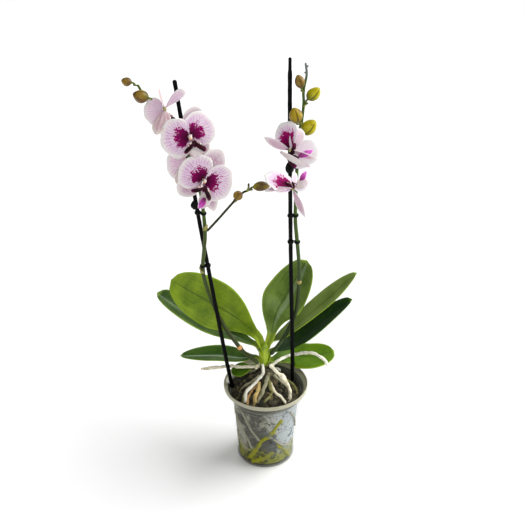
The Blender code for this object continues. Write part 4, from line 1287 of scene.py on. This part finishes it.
def pot_look():
    """Clear plastic, misted inside: nearly clear on the wall, olive grey and denser on the rim. The misting
    is painted paler on the right side as painted light, and the band under the rim and the collar's left side
    carry painted shade.
    """
    look = Look("clear_pot_skin", (0.18, 0.18, 0.14), 0.2, Specular_IOR_Level=0.25, Coat_Weight=0.04,
                Coat_Roughness=0.12)
    x, _, z = look.axes()
    clouds = look.noise(26.0, 4.0, 0.6, 0.8)
    mist_and_lit_side = look.step(x * 7.0 + clouds, 0.35, 0.95)
    band = look.step(z, 0.1045, 0.107)
    rim = look.step(z, 0.1172, 0.1182)
    # Painted light: the misting is paler towards the right side, where the light falls
    look.cover((0.3, 0.33, 0.33), mist_and_lit_side)
    # Painted shadow: the band under the rim is dark olive, lighter on the right side
    look.cover(look.mix(mist_and_lit_side, (0.075, 0.075, 0.05), (0.22, 0.23, 0.2)), band)
    # Painted shade: the collar is darker on its left side, away from the light
    collar = look.mix(look.step(x, -0.02, 0.04), (0.035, 0.034, 0.02), (0.1, 0.105, 0.085))
    look.paint(collar, z, 0.1095, 0.1125)
    look.cover((0.43, 0.415, 0.3), rim)
    alpha = mist_and_lit_side * 0.04 + look.step(clouds, 0.5, 0.72, 0.01, 0.09)
    alpha = look.maths("MAXIMUM", alpha, band * 0.97)
    alpha = look.maths("MAXIMUM", alpha, rim * 0.9)
    for height in MOULDING_LINES:
        line = look.step(abs(z - height), 0.0009, 0.0003, 0.0, 0.4)
        alpha = look.maths("MAXIMUM", alpha, line)
        look.cover((0.46, 0.48, 0.43), line)
    foot = look.step(z, 0.0045, 0.0015)
    alpha = look.maths("MAXIMUM", alpha, foot * 0.4, clamp=True)
    look.cover((0.06, 0.064, 0.01), foot)
    rough = look.step(clouds, 0.3, 0.7, 0.14, 0.34)
    return look.finish(look.noise(190.0, 4.0, 0.7) + look.cells(420.0), 0.0002, 0.25, rough, alpha)


def pot():
    shape = Shape()
    outer = [(0.059, POT_HEIGHT), (0.0597, POT_HEIGHT - 0.0003), (RIM_RADIUS, POT_HEIGHT - 0.0012),
             (RIM_RADIUS, 0.1205), (0.0596, 0.119), (0.0586, 0.118), (0.0572, 0.1176), (0.0552, 0.117),
             (0.0528, 0.1145), (0.0512, 0.1125), (0.0517, 0.1117), (0.0511, 0.1108), (0.0507, 0.1098),
             (0.0512, 0.109), (0.0505, 0.1081)]
    outer += [(wall_radius(height) + 0.00015 * math.sin(height * 900), height)
              for height in np.linspace(0.106, 0.006, 34)]
    outer += [(BASE_RADIUS, 0.004), (BASE_RADIUS - 0.0004, 0.0022), (BASE_RADIUS - 0.0014, 0.0009),
              (BASE_RADIUS - 0.003, 0.0001), (BASE_RADIUS - 0.0045, 0.0000), (BASE_RADIUS - 0.006, 0.001),
              (0.02, 0.0012), (0.0006, 0.0012)]
    inner = [(0.0006, 0.0022), (0.02, 0.0022), (BASE_RADIUS - 0.0045, 0.0022),
             (BASE_RADIUS - 0.0018, 0.0036)]
    inner += [(wall_radius(height) - POT_WALL, height) for height in np.linspace(0.006, 0.107, 20)]
    inner += [(0.0503, 0.11), (0.0503, 0.1125), (0.052, 0.1147), (0.0546, 0.118), (0.0572, 0.1188),
              (0.0585, 0.12), (0.0587, 0.123), (0.0587, 0.1245), (0.059, POT_HEIGHT)]
    add_lathe(shape, outer + inner[:-1], POT_SEGMENTS)
    # The profile is closed, so its ends are joined by a ring of faces in place of the two end caps
    shape.faces, shape.slots = shape.faces[:-2], shape.slots[:-2]
    rows = len(outer) + len(inner) - 1
    last = (rows - 1) * POT_SEGMENTS
    for index in range(POT_SEGMENTS):
        beside = (index + 1) % POT_SEGMENTS
        shape.faces.append((last + index, last + beside, beside, index))
        shape.slots.append(0)
    shape.piece("clear_pot", [pot_look()], "pot_plastic", "pot")


medium()
chips()
wall_roots()
pot()

# ---------------------------------------------------------------- stakes and clips

STAKES = metres({
    "stake_left": ((-36, 6, 12), (-43.2, 7, 100), (-44.5, 7, 107), (-50, 8, 121.5), (-61, 10, 190),
        (-79, 14, 312), (-90.5, 17, 392), (-115, 26, 576)),
    "stake_right": ((35.5, 12, 12), (38, 12, 120), (37.5, 12, 184), (33.5, 12, 328), (30, 12, 520),
        (29, 12, 612)),
})
STAKE_LOOK = plastic_look("stake_black", (0.0016, 0.0017, 0.0022), 0.45)
CLIP_LOOK = plastic_look("clip_black", (0.0045, 0.0055, 0.005), 0.38)


def stake(name):
    route = STAKES[name]
    steps = 16 * (len(route) - 1)
    path = smooth(route, steps)
    radii = [0.0028 + 0.00008 * math.sin(index * 1.7) for index in range(steps + 1)]
    if name == "stake_right":
        radii = [0.0021 if point.z > 0.596 else radius for point, radius in zip(path, radii)]
    path[-1] = path[-1] - (path[-1] - path[-2]).normalized() * 0.0026
    shape = Shape()
    add_tube(shape, path, radii, 16, rough=0.03, grain=400.0)
    shape.piece(name + "_rod", [STAKE_LOOK], "stake_plastic", name)


for name in STAKES:
    stake(name)
# Where each clip holds the stake, where it holds the spike, and its finger tab's place and half sizes
CLIPS = metres({
    "clip_left_lower": ((-79, 14, 312), (-85.5, 12.5, 312), None),
    "clip_left_upper": ((-90.5, 17, 392), (-82.8, 14.7, 392), ((-4.5, -3, 13), (5.2, 5.8))),
    "clip_right_lower": ((33, 12, 350), (41.8, 12, 350), None),
    "clip_right_middle": ((32.5, 12, 390), (39, 13.2, 390), None),
    "clip_right_upper": ((31.5, 12, 458), (40, 19, 458), ((-1, 0, 3), (6.8, 9))),
})


def add_ring(shape, middle, radius, thick, height):
    """A round band about Z, rounded in section."""
    path = [Vector(middle) + Vector((math.cos(turn), math.sin(turn), 0.0)) * radius
            for turn in np.linspace(0.0, 2 * math.pi, 29)]
    add_tube(shape, path, thick, 10, flat=height / thick, side=Vector((1.0, 0.0, 0.0)))


def clip(name):
    on_stake, on_spike, tab = CLIPS[name]
    start, end = Vector(on_stake), Vector(on_spike)
    shape = Shape()
    add_ring(shape, start, 0.0034, 0.001, 0.0021)
    add_ring(shape, end, 0.0034, 0.0009, 0.0018)
    add_tube(shape, [start.lerp(end, share) + Vector((0.0, 0.003, 0.0)) for share in (0.0, 0.33, 0.67, 1.0)],
             [0.001, 0.0008, 0.0008, 0.0009], 10)
    add_tube(shape, [start + Vector((0.0, -0.0034, height)) for height in (-0.0016, -0.0005, 0.0005, 0.0016)],
             [0.001, 0.0013, 0.0013, 0.001], 10)
    if tab:
        place, (across, up) = tab
        middle = start + Vector(place)
        path = along(14, lambda share: middle + Vector((0.0, 0.0, up * (2 * share - 1))))
        radii = along(14, lambda share: across * max(
            0.16, math.sin(math.pi * (0.06 + 0.9 * (1 - share))) ** 0.6 * (1 - 0.35 * share)))
        add_tube(shape, path, radii, 20, flat=0.3, side=Vector((1.0, 0.0, 0.0)))
        add_tube(shape, [start, start.lerp(middle, 0.5), middle], 0.0012, 10)
    shape.piece(name + "_moulding", [CLIP_LOOK], "stake_plastic", name)


for name in CLIPS:
    clip(name)

# ---------------------------------------------------------------- floor, lights and camera


def floor():
    shape = Shape()
    size = 4.0
    points = [(-size, -size, -0.0005), (size, -size, -0.0005), (size, size, -0.0005), (-size, size, -0.0005)]
    shape.add(points, [(0, 0), (1, 0), (1, 1), (0, 1)], [(0, 0)] * 4, [(0, 1, 2, 3)], 0)
    look = Look("floor_white", (0.895, 0.895, 0.895), 0.85, Specular_IOR_Level=0.1)
    look.cover((0.905, 0.905, 0.905), look.noise(6.0, 2.0))
    shape.object("floor", [look.finish(None, 0.0, 0.0)])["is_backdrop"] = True


def light(name, kind, place, aim, power):
    """A white light of this kind and power, turned towards the point aim."""
    data = bpy.data.lights.new(name, kind)
    data.energy = power
    made = link(name, data)
    made.location = place
    made.rotation_euler = (Vector(aim) - Vector(place)).to_track_quat("-Z", "Y").to_euler()
    return data


WORLD_STRENGTH = 0.24
SUN_SPREAD = 70
CAMERA_PLACE = (-0.0053, -1.358, 1.148)
CAMERA_DROP = 31.2
CAMERA_LENS = 81.3
FILM_WIDTH = 36.0

floor()
world = bpy.data.worlds.new("studio")
bpy.context.scene.world = world
world.use_nodes = True
background = world.node_tree.nodes["Background"]
background.inputs["Color"].default_value = (1.0, 1.0, 1.0, 1.0)
background.inputs["Strength"].default_value = WORLD_STRENGTH
light("sun", "SUN", (1.0, 0.26, 0.62), (0.0, 0.0, 0.0), 4.9).angle = math.radians(SUN_SPREAD)
light("fill", "AREA", (-0.3, -1.7, 1.5), (0.0, 0.0, 0.3), 13.5).size = 1.2
light("back", "AREA", (-0.2, 1.6, 1.2), (0.0, 0.0, 0.25), 6.0).size = 1.0
bpy.context.scene.view_settings.view_transform = "Standard"

camera_data = bpy.data.cameras.new("camera")
camera_data.sensor_width = FILM_WIDTH
camera_data.lens = CAMERA_LENS
camera = link("camera", camera_data)
camera.location = CAMERA_PLACE
camera.rotation_euler = (math.radians(90 - CAMERA_DROP), 0.0, 0.0)
bpy.context.scene.camera = camera

bpy.context.view_layer.update()
VISUAL_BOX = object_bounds()
boxes = {"cad": CAD_BOX, "visual": VISUAL_BOX}
{name: [list(corner) for corner in box] for name, box in boxes.items()}
